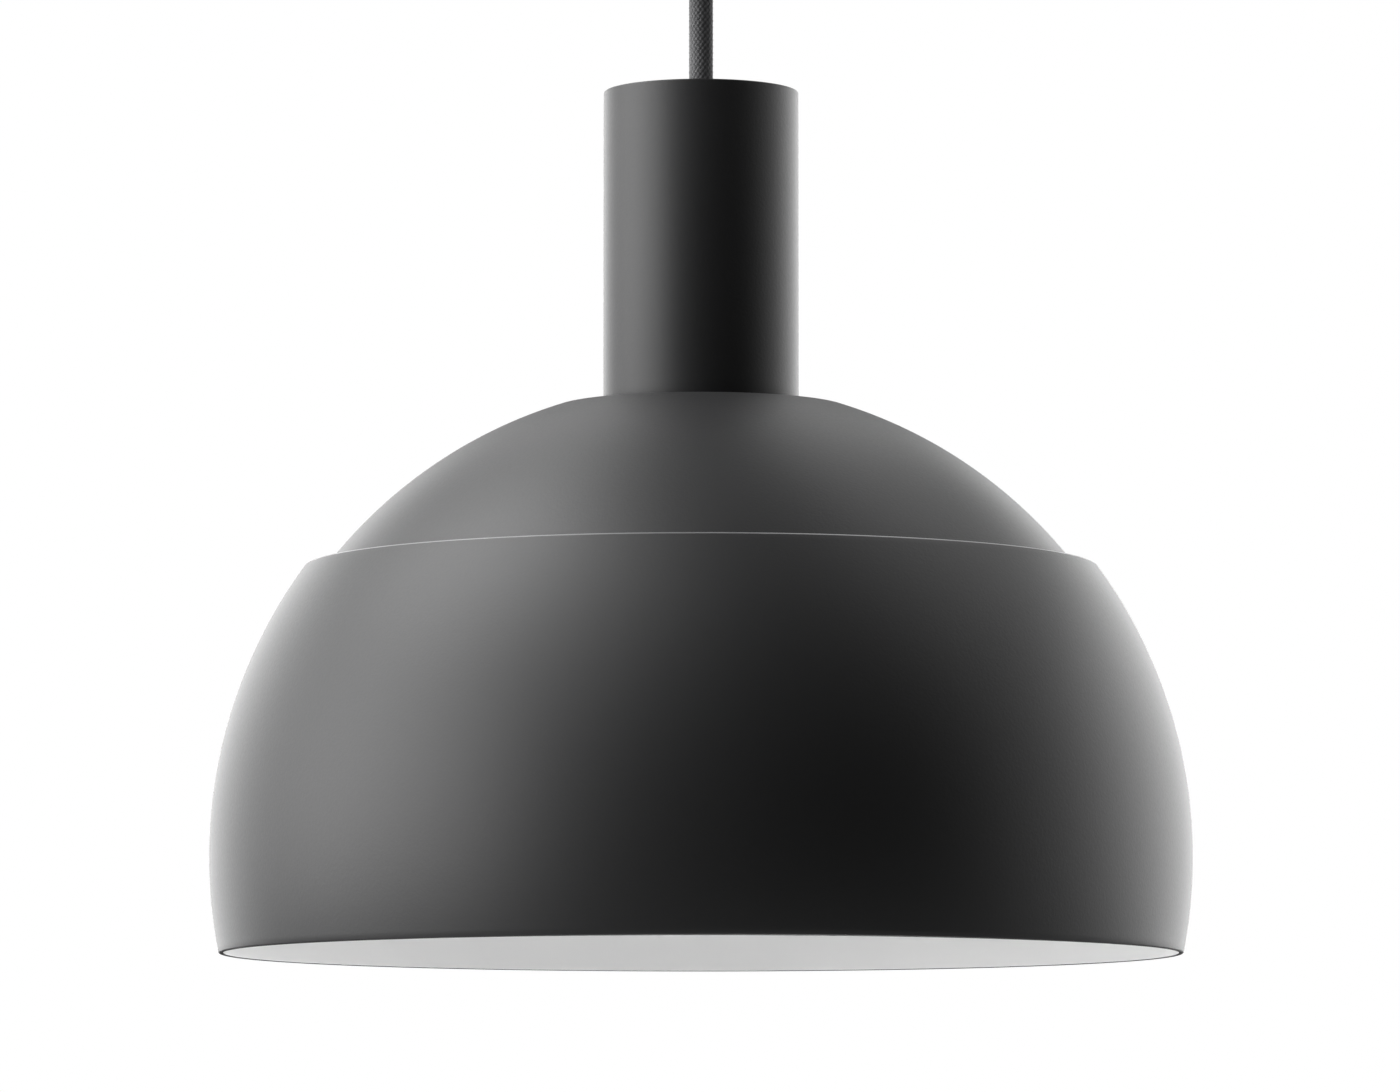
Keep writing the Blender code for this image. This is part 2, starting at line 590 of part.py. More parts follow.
def make_cover():
    """The tube that hides the lampholder, with the bushing, lock washer and nut in its top."""
    outer, inner = COVER_RADIUS, COVER_RADIUS - SHEET
    hole = BUSHING_STEM_RADIUS + GAP
    outline = [(hole, -SHEET), (hole, 0)]
    outline += arc(outer - COVER_EDGE, -COVER_EDGE, COVER_EDGE, math.pi / 2, 0, 2)
    outline += [(outer, -COVER_LENGTH), (inner, -COVER_LENGTH), (inner, -SHEET)]
    put(turned("socket_cover", outline, BLACK_COAT, WIDE), (0, 0, HEAD_TOP), pendant)

    flange_top = GAP + BUSHING_FLANGE
    flange = BUSHING_STEM_RADIUS + BUSHING_FLANGE_WIDTH
    bushing = [
        (CABLE_FIT, flange_top),
        (flange - MM, flange_top),
        (flange, flange_top - MM),
        (flange, GAP),
        (BUSHING_STEM_RADIUS, GAP),
        (BUSHING_STEM_RADIUS, -BUSHING_STEM_LENGTH),
        (CABLE_FIT, -BUSHING_STEM_LENGTH),
    ]
    put(turned("cover_bushing", bushing, NYLON), (0, 0, HEAD_TOP), pendant)

    outline = washer_outline(hole, hole + WASHER_WIDTH, 0, -WASHER_THICKNESS)
    washer = turned("cover_lock_washer", outline, ZINC)
    tooth = math.tau / SMALL
    for vert in washer.data.vertices:
        flat = Vector(vert.co.xy)
        on_rim = flat.length > hole + WASHER_WIDTH / 2
        if on_rim and round(math.atan2(flat.y, flat.x) / tooth * 2) % 2:
            vert.co.xy = flat * WASHER_TOOTH
    put(washer, (0, 0, HEAD_TOP - SHEET - GAP), pendant)
    hex_nut("cover_nut", hole, COVER_NUT_WALL, COVER_NUT_HEIGHT, NUT_TOP - COVER_NUT_HEIGHT, pendant)


def make_head_grip():
    """The grip that takes the lamp's weight off the cable's cores, and the stem tube that hangs from it."""
    outline = [
        (GRIP_RADIUS, HEAD_GRIP_TOP),
        (GRIP_RADIUS, HEAD_GRIP_BOTTOM),
        (STEM_FIT, HEAD_GRIP_BOTTOM),
        (STEM_FIT, HEAD_GRIP_NECK_BOTTOM),
        (CABLE_FIT, HEAD_GRIP_NECK_BOTTOM),
        (CABLE_FIT, HEAD_GRIP_NECK_TOP),
        (BUSHING_STEM_RADIUS + GAP, HEAD_GRIP_NECK_TOP),
        (BUSHING_STEM_RADIUS + GAP, HEAD_GRIP_TOP),
    ]
    grip = put(turned("head_cord_grip", outline, NYLON), (0, 0, 0), pendant)
    middle = (HEAD_GRIP_NECK_TOP + HEAD_GRIP_NECK_BOTTOM) / 2
    lock(grip, "head_grip_screw", LOCK_SCREW_RADIUS, CABLE_FIT, GRIP_RADIUS, middle, pendant)
    stem = washer_outline(CABLE_FIT, STEM_RADIUS, HEAD_GRIP_NECK_BOTTOM - GAP, STEM_END)
    put(turned("stem_tube", stem, ZINC), (0, 0, 0), pendant)


def thread_outline(root, crest, top, bottom, pitch):
    """A turned thread's ridges as outline points, from the top down."""
    turns = int((top - bottom) / pitch)
    points = []
    for i in range(turns):
        z = top - pitch * i
        points += [(root, z), (crest, z - pitch / 2)]
    return points + [(root, top - pitch * turns)]


def make_lampholder_cap():
    """The cap that hangs on the stem, its lock screw and the earth plate under its roof."""
    neck = STEM_FIT + CAP_NECK_WALL
    inner = HOLDER_RADIUS - HOLDER_WALL
    neck_end = CAP_TOP - CAP_NECK_HEIGHT
    roof = neck_end - CAP_ROOF_DROP
    shoulder = neck_end - CAP_SHOULDER_DROP
    outline = [
        (neck, CAP_TOP),
        (neck, neck_end),
        (HOLDER_RADIUS - 3 * MM, neck_end - 2 * MM),
        (HOLDER_RADIUS, shoulder),
        (HOLDER_RADIUS, HOLDER_JOINT),
        (inner, HOLDER_JOINT),
        (inner, shoulder),
        (neck + 2 * MM, roof),
        (STEM_FIT, roof),
        (STEM_FIT, CAP_TOP),
    ]
    cap = put(turned("lampholder_cap", outline, PHENOLIC), (0, 0, 0), pendant)
    middle = CAP_TOP - CAP_NECK_HEIGHT / 2
    lock(cap, "cap_lock_screw", LOCK_SCREW_RADIUS, STEM_FIT, neck, middle, pendant)
    plate = washer_outline(STEM_FIT, STEM_FIT + EARTH_PLATE_WIDTH, roof - GAP, roof - GAP - EARTH_PLATE)
    put(turned("earth_plate", plate, BRASS), (0, 0, 0), pendant)
    return roof - GAP - EARTH_PLATE


def make_lampholder_body():
    """The body with its threaded skirt, the contact block that it carries and the two terminal screws."""
    inner = HOLDER_RADIUS - HOLDER_WALL
    top = HOLDER_JOINT - GAP
    root = SKIRT_THREAD_RADIUS - SKIRT_THREAD_DEPTH
    collar_end = HOLDER_JOINT - HOLDER_COLLAR
    outline = [(HOLDER_RADIUS, top), (HOLDER_RADIUS, collar_end), (root, collar_end - HOLDER_COLLAR_SLOPE)]
    outline += thread_outline(
        root, SKIRT_THREAD_RADIUS, SKIRT_END + SKIRT_THREAD_LENGTH, SKIRT_END + MM, SKIRT_THREAD_PITCH
    )
    outline += [(root, SKIRT_END), (SKIRT_BORE, SKIRT_END), (SKIRT_BORE, HOLDER_SHELF)]
    outline += [(inner, HOLDER_SHELF), (inner, top)]
    put(turned("lampholder_body", outline, PHENOLIC), (0, 0, 0), pendant)

    block = prism("contact_block", inner - 1.5 * GAP, 0, -CONTACT_BLOCK_HEIGHT, ROUND, CERAMIC)
    put(block, (0, 0, BLOCK_TOP), pendant)
    for side, name in ((-1, "live"), (1, "neutral")):
        x = side * TERMINAL_OFFSET
        place = (x, 0, BLOCK_TOP + GAP)
        end = (x, 0, BLOCK_TOP - TERMINAL_SCREW_LENGTH - MM)
        drill(block, TERMINAL_SCREW_RADIUS + GAP, end, (x, 0, BLOCK_TOP + MM))
        held = screw(f"holder_screw_{name}", TERMINAL_SCREW_RADIUS, TERMINAL_SCREW_LENGTH, BRASS)
        put_screw(held, TERMINAL_SCREW_RADIUS, place, pendant, (0, 0, 1))


def make_contacts():
    """The screw shell and the bent strip that the bulb's tip presses on."""
    top = HOLDER_SHELF - GAP
    end = top - SHELL_LENGTH
    groove = thread_outline(SHELL_BORE, SHELL_BORE + THREAD_DEPTH, top - MM, end + MM, THREAD_PITCH)
    shell = [(SHELL_BORE, top)] + groove + [(SHELL_BORE, end)]
    outline = shell + [(r + SHELL_WALL, z) for r, z in reversed(shell)]
    put(turned("screw_shell", outline, BRASS), (0, 0, 0), pendant)

    low = top - CONTACT_DIP
    outer_bend, inner_bend = CONTACT_BENDS
    half = [(inner_bend, low), (outer_bend, top), (CONTACT_REACH, top)]
    bends = [(-x, z) for x, z in reversed(half)] + half
    corners = bends + [(x, z - CONTACT_SHEET) for x, z in reversed(bends)]
    put(extruded("centre_contact", corners, CONTACT_WIDTH, BRASS), (0, 0, 0), pendant)


def make_head_wiring(plate_bottom):
    """The three cores, from the end of the sheath to the lampholder's terminals and its earth plate."""
    live, neutral, earth = core_starts(HEAD_GRIP_NECK_BOTTOM - SHEATH_PAST_GRIP - GAP, 90)
    terminal = HOLDER_JOINT - 0.7 * MM
    near_screw = TERMINAL_OFFSET - TERMINAL_SCREW_RADIUS * SCREW_HEAD_RATIO - 2 * GAP
    for name, begin, side, look in (("live", live, -1, BROWN_WIRE), ("neutral", neutral, 1, BLUE_WIRE)):
        route = down_the_stem(begin)
        route += [Vector((side * 2.6 * MM, 0, terminal + 1.2 * MM))]
        route += [Vector((side * near_screw, 0, terminal))]
        tube(f"head_wire_{name}", smooth_route(route), WIRE_RADIUS, look, pendant)
    out = STEM_RADIUS + 2 * MM
    route = down_the_stem(earth)
    route += [Vector((0, 4 * MM, STEM_END - 3.6 * MM)), Vector((0, out, STEM_END - 3.2 * MM))]
    route += [Vector((0, out + 0.4 * MM, plate_bottom - GAP))]
    tube("head_wire_earth", smooth_route(route), WIRE_RADIUS, EARTH_WIRE, pendant)


def down_the_stem(begin):
    """A core's straight stretch inside the stem tube."""
    return [Vector((begin.x, begin.y, z)) for z in (begin.z, (begin.z + STEM_END) / 2, STEM_END)]


# ---------------------------------------------------------------- shade


def make_dome():
    """The upper shell: a sphere's cap with a flat, round-edged crown, holed for the holder's skirt."""
    hem = RING_TOP_RISE - DOME_OVERLAP
    fillet_z = DOME_FLAT_RISE - DOME_CROWN_FILLET
    fillet_r = math.sqrt((DOME_SPHERE_RADIUS - DOME_CROWN_FILLET) ** 2 - fillet_z**2)
    shoulder = math.atan2(fillet_z, fillet_r)
    hole = SKIRT_THREAD_RADIUS + 2 * GAP

    def side(inset):
        sphere = DOME_SPHERE_RADIUS - inset
        up = arc(0, 0, sphere, math.asin(hem / sphere), shoulder, DOME_STEPS)
        over = arc(fillet_r, fillet_z, DOME_CROWN_FILLET - inset, shoulder, math.pi / 2, 2)
        return up + over[1:] + [(hole, DOME_FLAT_RISE - inset)]

    outline = side(0) + side(SHEET)[::-1]
    return put(turned("dome_shell", outline, BLACK_COAT, WIDE), (0, 0, SPHERE_CENTRE_Z), shade)


def ring_span(sphere):
    """The angles above the spheres' centre of the ring's rim and of its top edge."""
    return math.asin(-RING_RIM_DROP / sphere), math.asin(RING_TOP_RISE / sphere)


def make_ring():
    """The lower shell: a band of a sphere, open at the top and at the rim."""
    outer, inner = RING_SPHERE_RADIUS, RING_SPHERE_RADIUS - SHEET
    outline = arc(0, 0, outer, *ring_span(outer), RING_STEPS)
    outline += arc(0, 0, inner, *ring_span(inner), RING_STEPS)[::-1]
    put(turned("ring_shell", outline, BLACK_COAT, WIDE), (0, 0, SPHERE_CENTRE_Z), shade)


def make_spacers(dome):
    """Tapped blocks welded inside the ring, each with a screw through the dome from inside."""
    ring_wall = RING_SPHERE_RADIUS - SHEET
    low, high = ring_span(ring_wall)
    arc_sag = sag(ring_wall, math.tau * RING_STEPS / (high - low))
    corner = SPACER_SIZE / math.sqrt(2)
    inner_face = DOME_SPHERE_RADIUS + GAP
    outer_face = math.sqrt(ring_wall**2 - corner**2) - sag(ring_wall, WIDE) - arc_sag - GAP
    middle = (inner_face + outer_face) / 2
    lift = math.asin((RING_TOP_RISE - DOME_OVERLAP / 2) / middle)
    under_head = DOME_SPHERE_RADIUS - SHEET - sag(DOME_SPHERE_RADIUS, WIDE) - GAP
    centre = Vector((0, 0, SPHERE_CENTRE_Z))
    for i in range(SPACER_COUNT):
        turn = math.pi / 2 + math.tau * i / SPACER_COUNT
        out = Vector((math.cos(turn) * math.cos(lift), math.sin(turn) * math.cos(lift), math.sin(lift)))
        block = slab(f"spacer_{i + 1}", (SPACER_SIZE, SPACER_SIZE, outer_face - inner_face), WHITE_COAT)
        put(block, centre + out * middle, shade, out)
        near, far = centre + out * (inner_face - MM), centre + out * (outer_face + MM)
        drill(block, SPACER_SCREW_RADIUS + GAP, near, far)
        near, far = centre + out * (under_head - 3 * MM), centre + out * (inner_face + MM)
        drill(dome, SPACER_SCREW_RADIUS + GAP, near, far)
        held = screw(f"spacer_screw_{i + 1}", SPACER_SCREW_RADIUS, outer_face - under_head, WHITE_COAT)
        put_screw(held, SPACER_SCREW_RADIUS, centre + out * under_head, shade, -out)


def make_shade_ring():
    """The ribbed collar on the lampholder's skirt. Its top face is at its own origin."""
    grip = SHADE_RING_BORE + SHADE_RING_WALL
    flange = grip + SHADE_RING_FLANGE_WIDTH
    outline = [
        (flange, 0),
        (flange, -SHADE_RING_FLANGE),
        (grip, -SHADE_RING_FLANGE - MM),
        (grip, -SHADE_RING_HEIGHT),
        (SHADE_RING_BORE, -SHADE_RING_HEIGHT),
        (SHADE_RING_BORE, 0),
    ]
    ring = turned("shade_ring", outline, PHENOLIC, WIDE)
    step = math.tau / WIDE
    for vert in ring.data.vertices:
        flat = Vector(vert.co.xy)
        on_grip = abs(flat.length - grip) < GAP
        if on_grip and round(math.atan2(flat.y, flat.x) / step) % 2:
            vert.co.xy = flat * (1 - SHADE_RING_RIB / grip)
    put(ring, (0, 0, SHADE_RING_TOP), collar)


# ---------------------------------------------------------------- bulb


def make_bulb_cap():
    """The bulb's contact tip, insulator and screw cap. Heights are below the tip."""
    place = (0, 0, BULB_TIP)
    contact = [(0, 0), (3 * MM, -0.3 * MM), (TIP_RADIUS, -TIP_HEIGHT), (0, -TIP_HEIGHT)]
    put(turned("bulb_contact", contact, NICKEL), place, bulb_travel)

    cap_top = -CAP_END_DROP
    base = -TIP_HEIGHT - GAP
    plug = CAP_END_RADIUS - GAP
    sunk = cap_top - INSULATOR_SINK
    insulator = [(0, base), (TIP_RADIUS + 2 * GAP, base), (plug, cap_top + GAP), (plug, sunk), (0, sunk)]
    put(turned("bulb_insulator", insulator, BLACK_GLASS), place, bulb)

    root = BULB_CREST - THREAD_DEPTH
    wall = root - THREAD_DEPTH
    skirt = -BULB_CAP_LENGTH
    ridges_top, ridges_end = cap_top - 2.2 * MM, skirt + CAP_LIP + MM
    lip = BULB_CREST - 0.2 * MM
    outline = [(CAP_END_RADIUS, cap_top)]
    outline += thread_outline(root, BULB_CREST, ridges_top, ridges_end, THREAD_PITCH)
    outline += [(lip, skirt + CAP_LIP), (lip, skirt), (wall, skirt), (wall, cap_top - 2.5 * MM)]
    outline += [(CAP_END_RADIUS, cap_top - MM)]
    put(turned("bulb_cap", outline, NICKEL), place, bulb)


def make_bulb_body():
    """The bulb's housing and opal globe, with the circuit board and the driver inside."""
    place = (0, 0, BULB_TIP)
    top = -BULB_CAP_LENGTH - GAP
    end = top - HOUSING_LENGTH
    lip = end - GAP
    centre = BULB_RADIUS - BULB_LENGTH
    lip_angle = math.asin((lip - centre) / BULB_RADIUS)
    lip_radius = BULB_RADIUS * math.cos(lip_angle)
    start = BULB_CREST + GAP
    swell = lip_radius - start
    outer = [(start + swell * out, top - along * HOUSING_LENGTH) for along, out in HOUSING_SWELL]
    inner = [(r - BULB_WALL, z) for r, z in outer]
    put(turned("bulb_housing", outer + inner[::-1], WHITE_PLASTIC), place, bulb)

    inside = BULB_RADIUS - BULB_WALL
    globe = [(0, centre - inside)]
    globe += arc(0, centre, inside, -math.pi / 2, math.asin((lip - centre) / inside), GLOBE_STEPS)[1:]
    globe += arc(0, centre, BULB_RADIUS, lip_angle, -math.pi / 2, GLOBE_STEPS)[:-1]
    put(turned("bulb_globe", globe + [(0, -BULB_LENGTH)], OPAL), place, bulb)

    seat = start + swell * BOARD_SHARE - BULB_WALL - GAP
    board = prism("led_board", seat, BOARD_LIFT, BOARD_LIFT - BOARD_THICKNESS, ROUND, ALUMINIUM)
    put(board, (0, 0, BULB_TIP + end), bulb)
    put(slab("led_driver", DRIVER, CIRCUIT), (0, 0, BULB_TIP + top - DRIVER_DROP), bulb)


make_bracket()
make_canopy()
make_rose_outlet()
make_rose_wiring()
make_cable()
make_cover()
make_head_grip()
earth_plate_bottom = make_lampholder_cap()
make_lampholder_body()
make_contacts()
make_head_wiring(earth_plate_bottom)
dome_shell = make_dome()
make_ring()
make_spacers(dome_shell)
make_shade_ring()
make_bulb_cap()
make_bulb_body()
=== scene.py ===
# %% [markdown]
# # A pendant ceiling light
# The lamp is a spun-metal shade of two nested shells, hung from a slim tube that hides its
# lampholder. The tube hangs on a braided cable from a ceiling rose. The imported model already
# fixes every size, place and joint, so this file only makes the surfaces that a person sees:
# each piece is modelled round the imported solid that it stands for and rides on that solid's body.

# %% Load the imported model
import json
import math

import bmesh
import bpy
from mathutils import Matrix, Vector


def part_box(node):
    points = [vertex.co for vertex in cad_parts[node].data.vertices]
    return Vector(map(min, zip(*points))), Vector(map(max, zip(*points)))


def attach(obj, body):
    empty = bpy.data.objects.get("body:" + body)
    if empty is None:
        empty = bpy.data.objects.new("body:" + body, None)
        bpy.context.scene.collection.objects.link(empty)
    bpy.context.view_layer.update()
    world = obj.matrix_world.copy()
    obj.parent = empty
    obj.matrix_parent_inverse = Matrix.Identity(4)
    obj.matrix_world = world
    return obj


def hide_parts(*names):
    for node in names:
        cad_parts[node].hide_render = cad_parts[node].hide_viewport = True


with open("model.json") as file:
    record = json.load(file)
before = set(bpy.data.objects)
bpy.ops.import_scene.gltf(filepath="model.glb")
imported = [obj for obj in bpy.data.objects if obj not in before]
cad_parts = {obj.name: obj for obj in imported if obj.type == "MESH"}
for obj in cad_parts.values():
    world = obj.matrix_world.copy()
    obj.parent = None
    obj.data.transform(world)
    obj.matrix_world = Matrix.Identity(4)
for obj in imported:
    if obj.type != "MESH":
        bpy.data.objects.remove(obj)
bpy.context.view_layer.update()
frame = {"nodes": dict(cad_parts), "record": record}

# %% [markdown]
# ## Units and two helpers
# Blender works in metres and a metal spinner in millimetres, so one constant turns one into the
# other. Most of the lamp is round. A lathe makes such a piece by holding an outline against a
# turning blank, and the spin operator does the same: it carries a closed outline round the axis
# and merges the last step into the first.

# %% Units
MM = 0.001
GAP = 0.3 * MM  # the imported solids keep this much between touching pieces
SHEET = 1.5 * MM  # spun metal
FINE, MEDIUM, SMALL = 256, 128, 48  # steps round the shade, round a fist-sized piece, round a screw
MERGED = 0.001 * MM  # points nearer than this are one point


# %% Turn an outline
def turned(outline, steps):
    """A bmesh of revolution about Z. An outline that starts or ends on the axis is closed there."""
    bm = bmesh.new()
    verts = [bm.verts.new((radius, 0, z)) for radius, z in outline]
    edges = [bm.edges.new(pair) for pair in zip(verts, verts[1:])]
    if outline[0][0] > 0 or outline[-1][0] > 0:
        edges.append(bm.edges.new((verts[-1], verts[0])))
    bmesh.ops.spin(
        bm, geom=verts + edges, cent=(0, 0, 0), axis=(0, 0, 1), angle=math.tau, steps=steps, use_merge=True
    )
    bmesh.ops.remove_doubles(bm, verts=bm.verts, dist=MERGED)
    bmesh.ops.recalc_face_normals(bm, faces=bm.faces)
    return bm


def arc(centre_r, centre_z, radius, start, end, steps):
    """Points (radius, height) along an arc between two angles, both ends included."""
    angles = [start + (end - start) * i / steps for i in range(steps + 1)]
    return [(centre_r + radius * math.cos(a), centre_z + radius * math.sin(a)) for a in angles]


# %% [markdown]
# No real edge is perfectly sharp: spinning, moulding and paint all leave a small radius, and that
# radius is what catches a line of light. This helper finds the edges where two faces meet at a
# clear angle and bevels them.


# %% Round the sharp edges
def soften(bm, width, segments=2, sharper=30):
    """Bevels the edges whose faces meet at more than that many degrees."""
    limit = math.radians(sharper)
    sharp = [e for e in bm.edges if len(e.link_faces) == 2 and e.calc_face_angle(0) > limit]
    bmesh.ops.bevel(
        bm,
        geom=sharp,
        offset=width,
        offset_type="OFFSET",
        affect="EDGES",
        segments=segments,
        profile=0.5,
        material=-1,
        clamp_overlap=True,
    )
    return bm


# %% [markdown]
# A finished mesh needs the same few steps each time: smooth shading that stops at sharp edges, its
# materials, the body that it rides on and the imported solids that it replaces.


# %% Finish a piece
SHARP_EDGE = 40  # degrees between two faces from which their edge is shaded sharp


def finished(name, bm, looks, body, nodes):
    """Makes an object from the bmesh. looks is its materials, the first being the usual one."""
    mesh = bpy.data.meshes.new(name)
    bm.to_mesh(mesh)
    bm.free()
    mesh.shade_smooth()
    mesh.set_sharp_from_angle(angle=math.radians(SHARP_EDGE))
    for look in looks:
        mesh.materials.append(look)
    made = bpy.data.objects.new(name, mesh)
    bpy.context.scene.collection.objects.link(made)
    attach(made, body)
    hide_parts(*nodes)
    print(f"{name}: {len(mesh.polygons)} faces, {[round(1000 * x, 1) for x in made.dimensions]} mm")
    return made


# %% [markdown]
# ## Helpers for materials
# Paint makers and screen designers give colours as sRGB hex values, while a render adds up light
# in linear values, so one function turns one into the other. One more adds a node, sets it and
# links it.


# %% Colour and node helpers
def linear(colour):
    """An sRGB hex colour as linear red, green, blue and alpha."""
    parts = [int(colour[i : i + 2], 16) / 255 for i in (1, 3, 5)]
    return [*((p / 12.92 if p <= 0.04045 else ((p + 0.055) / 1.055) ** 2.4) for p in parts), 1.0]


def add(tree, kind, inputs=None, **settings):
    """Adds a node. inputs maps a socket to a value, or to another node's output to link it to."""
    made = tree.nodes.new(kind)
    for key, value in settings.items():
        setattr(made, key, value)
    for key, value in (inputs or {}).items():
        if isinstance(value, bpy.types.NodeSocket):
            tree.links.new(value, made.inputs[key])
        else:
            made.inputs[key].default_value = value
    return made


def per_mm(size):
    """A texture's scale for features of that many millimetres, on coordinates in metres."""
    return 1 / (size * MM)


# %% [markdown]
# ## Studio
# The lamp hangs in a white studio. The camera stands 2.4 m away with a long lens, a little below
# the shade, so that it looks up at it and just under the rim. The floor is a pale sheet far below,
# which lets a view from underneath through.

# %% Camera
ring_low, ring_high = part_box("ring_shell")
RING_RADIUS = 150 * MM
RIM_DROP = 30 * MM  # below the spheres' centre
shade_centre = Vector((0, 0, ring_low.z + RIM_DROP))

CAMERA_DISTANCE = 2.44
CAMERA_BELOW_CENTRE = 0.1222
AIM_ABOVE_CENTRE = 0.0951
AIM_LEFT = 0.32 * MM
SENSOR_MM, LENS_MM = 36, 205.5
eye = Vector((-AIM_LEFT, -CAMERA_DISTANCE, shade_centre.z - CAMERA_BELOW_CENTRE))
aim = Vector((-AIM_LEFT, 0, shade_centre.z + AIM_ABOVE_CENTRE))
lens = bpy.data.cameras.new("camera")
lens.sensor_width, lens.lens = SENSOR_MM, LENS_MM
camera = bpy.data.objects.new("camera", lens)
camera.location = eye
camera.rotation_euler = (aim - eye).to_track_quat("-Z", "Y").to_euler()
bpy.context.scene.collection.objects.link(camera)
bpy.context.scene.camera = camera
bpy.context.scene.view_settings.view_transform = "Standard"
tilt = math.degrees(camera.rotation_euler.x) - 90
print("camera at", [round(x, 3) for x in eye], "tilted up", round(tilt, 2))

# %% [markdown]
# A black object is drawn by what it reflects. Softboxes stand round the lamp at two heights, and
# each one's strength is given as its radiance. The strong ones on the left lay the broad sheen on
# the left half, the ones behind brighten both outlines, and the front right stays dark. A small one
# a metre below lights the white inside.

# %% Lights
WAIST = {60: 4.7, 90: 5.9, 120: 1.7, 150: 4.5, -150: 4.4, -120: 3.0, -90: 0.8}  # degrees left: radiance
HIGH = {45: 1.6, 90: 6.9, 135: 1.3, 180: 1.4, -135: 1.1, -90: 1.1}
# Each row's place: metres above the shade's centre, metres from its axis, width and height.
WAIST_PLACE = {"rise": 0.3, "distance": 1.8, "width": 1.0, "height": 1.3}
HIGH_PLACE = {"rise": 1.5, "distance": 1.2, "width": 1.3, "height": 1.3}
FILL_PLACE = {"rise": -1.0, "distance": 0.2, "width": 0.6, "height": 0.6}
FILL_TURN, FILL_RADIANCE = -90, 8.4


def softbox(name, turn, radiance, rise, distance, width, height):
    """A rectangular softbox facing the shade, so many degrees to the camera's left."""
    light = bpy.data.lights.new(name, "AREA")
    light.shape, light.size, light.size_y = "RECTANGLE", width, height
    light.energy = radiance * math.pi * width * height
    placed = bpy.data.objects.new(name, light)
    side = Vector((-math.sin(math.radians(turn)), -math.cos(math.radians(turn)), 0))
    placed.location = shade_centre + side * distance + Vector((0, 0, rise))
    placed.rotation_euler = (shade_centre - placed.location).to_track_quat("-Z", "Y").to_euler()
    placed.visible_camera = False
    bpy.context.scene.collection.objects.link(placed)


for turn, radiance in WAIST.items():
    softbox(f"waist_softbox_{turn}", turn, radiance, **WAIST_PLACE)
for turn, radiance in HIGH.items():
    softbox(f"high_softbox_{turn}", turn, radiance, **HIGH_PLACE)
softbox("fill_from_below", FILL_TURN, FILL_RADIANCE, **FILL_PLACE)
print("softboxes:", len(WAIST) + len(HIGH) + 1)

# %% [markdown]
# The wall is the world itself. It shows as plain white wherever the camera sees past the lamp, and
# gives almost no light of its own, because the softboxes do.

# %% White wall
WALL_GLOW = 0.02  # the world's strength for every ray but the camera's
world = bpy.data.worlds.new("studio")
world.use_nodes = True
bpy.context.scene.world = world
tree = world.node_tree
tree.nodes.clear()
seen = add(tree, "ShaderNodeLightPath").outputs["Is Camera Ray"]
wall = add(tree, "ShaderNodeMapRange", {"Value": seen, "To Min": WALL_GLOW, "To Max": 1.0})
white = add(tree, "ShaderNodeBackground", {"Color": (1, 1, 1, 1), "Strength": wall.outputs["Result"]})
add(tree, "ShaderNodeOutputWorld", {"Surface": white.outputs["Background"]})

# %% [markdown]
# The floor is one pale matt square, a long way below. The softboxes face the lamp, so they would
# leave the floor grey: wherever the camera sees it, it glows at its own paleness instead, so it
# shows no shadow. Its back is transparent, so that a camera under it still sees the lamp.

# %% Floor
FLOOR_DROP = 2.2  # metres below the shade's centre
FLOOR_SIZE = 200  # metres, to keep its edge out of the views
floor_look = bpy.data.materials.new("pale_floor")
floor_look.use_nodes = True
tree = floor_look.node_tree
tree.nodes.clear()
place = add(tree, "ShaderNodeTexCoord").outputs["Object"]
grain = add(tree, "ShaderNodeTexNoise", {"Vector": place, "Scale": per_mm(400)})
tint = add(
    tree,
    "ShaderNodeMix",
    {"Factor": grain.outputs["Fac"], "A": linear("#e4e4e4"), "B": linear("#eaeaea")},
    data_type="RGBA",
)
matt = add(tree, "ShaderNodeBsdfDiffuse", {"Color": tint.outputs["Result"]})
pale = add(tree, "ShaderNodeEmission", {"Color": tint.outputs["Result"]})
seen = add(tree, "ShaderNodeLightPath").outputs["Is Camera Ray"]
top = add(tree, "ShaderNodeMixShader", {0: seen, 1: matt.outputs[0], 2: pale.outputs[0]})
clear = add(tree, "ShaderNodeBsdfTransparent")
below = add(tree, "ShaderNodeNewGeometry").outputs["Backfacing"]
sheet = add(tree, "ShaderNodeMixShader", {0: below, 1: top.outputs[0], 2: clear.outputs[0]})
add(tree, "ShaderNodeOutputMaterial", {"Surface": sheet.outputs[0]})
bm = bmesh.new()
bmesh.ops.create_grid(bm, x_segments=1, y_segments=1, size=FLOOR_SIZE / 2)
bmesh.ops.translate(bm, verts=bm.verts, vec=(0, 0, shade_centre.z - FLOOR_DROP))
mesh = bpy.data.meshes.new("floor")
bm.to_mesh(mesh)
bm.free()
mesh.materials.append(floor_look)
floor = bpy.data.objects.new("floor", mesh)
bpy.context.scene.collection.objects.link(floor)

# %% [markdown]
# ## Paints
# Powder coat is dry paint powder, baked until it flows into one skin. The matt fine-texture kind
# keeps a faint grain of about half a millimetre, which breaks reflections up into a soft sheen.
# Its resin is a polyester with an IOR near 1.5. The grain is drawn a little coarser than the real
# one, because that would be too fine to show.


